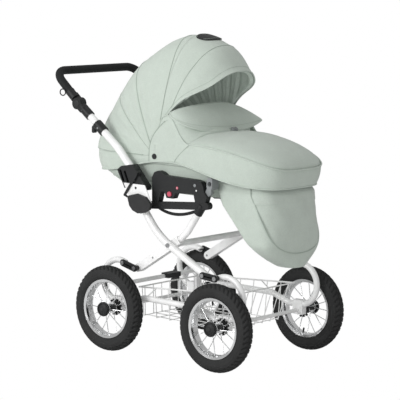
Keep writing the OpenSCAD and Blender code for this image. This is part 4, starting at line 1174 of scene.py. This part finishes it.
def by_ray(tree, others, seen, out):
    """Shows the camera one shader and all other rays another."""
    mix = tree.nodes.new("ShaderNodeMixShader")
    path = tree.nodes.new("ShaderNodeLightPath")
    tree.links.new(path.outputs["Is Camera Ray"], mix.inputs["Fac"])
    tree.links.new(others.outputs[0], mix.inputs[1])
    tree.links.new(seen.outputs[0], mix.inputs[2])
    tree.links.new(mix.outputs[0], out.inputs["Surface"])


def floor():
    bm = bmesh.new()
    bmesh.ops.create_grid(bm, x_segments=1, y_segments=1, size=60.0)
    mat = bpy.data.materials.new("floor")
    mat.use_nodes = True
    tree = mat.node_tree
    glow = tree.nodes.new("ShaderNodeEmission")
    pale = tree.nodes.new("ShaderNodeBsdfDiffuse")
    glow.inputs["Color"].default_value = WHITE
    pale.inputs["Color"].default_value = (0.8, 0.8, 0.8, 1.0)
    by_ray(tree, pale, glow, tree.nodes["Material Output"])
    ob = make("floor", bm, [mat])
    ob.location.z = -0.0005


def world(scene):
    world = bpy.data.worlds.new("studio")
    scene.world = world
    world.use_nodes = True
    tree = world.node_tree
    sky = tree.nodes["Background"]
    white = tree.nodes.new("ShaderNodeBackground")
    sky.inputs["Color"].default_value = WHITE
    sky.inputs["Strength"].default_value = 0.46
    white.inputs["Color"].default_value = WHITE
    by_ray(tree, sky, white, tree.nodes["World Output"])


def lamp(scene, name, place, aim, size, power_w):
    data = bpy.data.lights.new(name, "AREA")
    data.size = size
    data.energy = power_w
    ob = bpy.data.objects.new(name, data)
    ob.location = place
    ob.rotation_euler = (Vector(aim) - Vector(place)).to_track_quat("-Z", "Y").to_euler()
    scene.collection.objects.link(ob)


class PRAM_OT_stage(bpy.types.Operator):
    """Camera, floor, light and view settings"""
    bl_idname = "pram.stage"
    bl_label = "Stage"

    def execute(self, context):
        scene = context.scene
        camera(scene)
        floor()
        world(scene)
        lamp(scene, "key", (-1.4, -4.6, 2.3), (0.0, 0.0, 0.65), 2.4, 134.0)
        lamp(scene, "fill", (3.4, -3.6, 1.2), (0.1, 0.0, 0.75), 1.6, 30.0)
        lamp(scene, "top", (-0.2, 0.4, 4.6), (0.0, 0.0, 0.6), 3.0, 18.0)
        scene.view_settings.view_transform = "Standard"
        return {"FINISHED"}


class PRAM_PT_panel(bpy.types.Panel):
    """Sizes, colours and the building steps"""
    bl_label = "Bassinet pram"
    bl_idname = "PRAM_PT_panel"
    bl_space_type = "VIEW_3D"
    bl_region_type = "UI"
    bl_category = "Pram"

    def draw(self, context):
        layout = self.layout
        for name in ("stage", "materials", "wheels", "seat", "hood", "trim"):
            layout.operator("pram." + name)
        for group in (context.scene.pram_sizes, context.scene.pram_colours):
            for key in group.__annotations__:
                layout.prop(group, key)


CLASSES = (PRAM_PG_sizes, PRAM_PG_colours, PRAM_OT_materials, PRAM_OT_wheels, PRAM_OT_seat, PRAM_OT_hood,
           PRAM_OT_trim, PRAM_OT_stage, PRAM_PT_panel)


def register():
    for cls in CLASSES:
        bpy.utils.register_class(cls)
    bpy.types.Scene.pram_sizes = bpy.props.PointerProperty(type=PRAM_PG_sizes)
    bpy.types.Scene.pram_colours = bpy.props.PointerProperty(type=PRAM_PG_colours)


def unregister():
    del bpy.types.Scene.pram_colours
    del bpy.types.Scene.pram_sizes
    for cls in reversed(CLASSES):
        bpy.utils.unregister_class(cls)


def main():
    register()
    bpy.ops.pram.stage()
    bpy.ops.pram.materials()
    bpy.ops.pram.wheels()
    bpy.ops.pram.seat()
    bpy.ops.pram.hood()
    bpy.ops.pram.trim()
    bpy.context.view_layer.update()


if __name__ == "__main__":
    main()
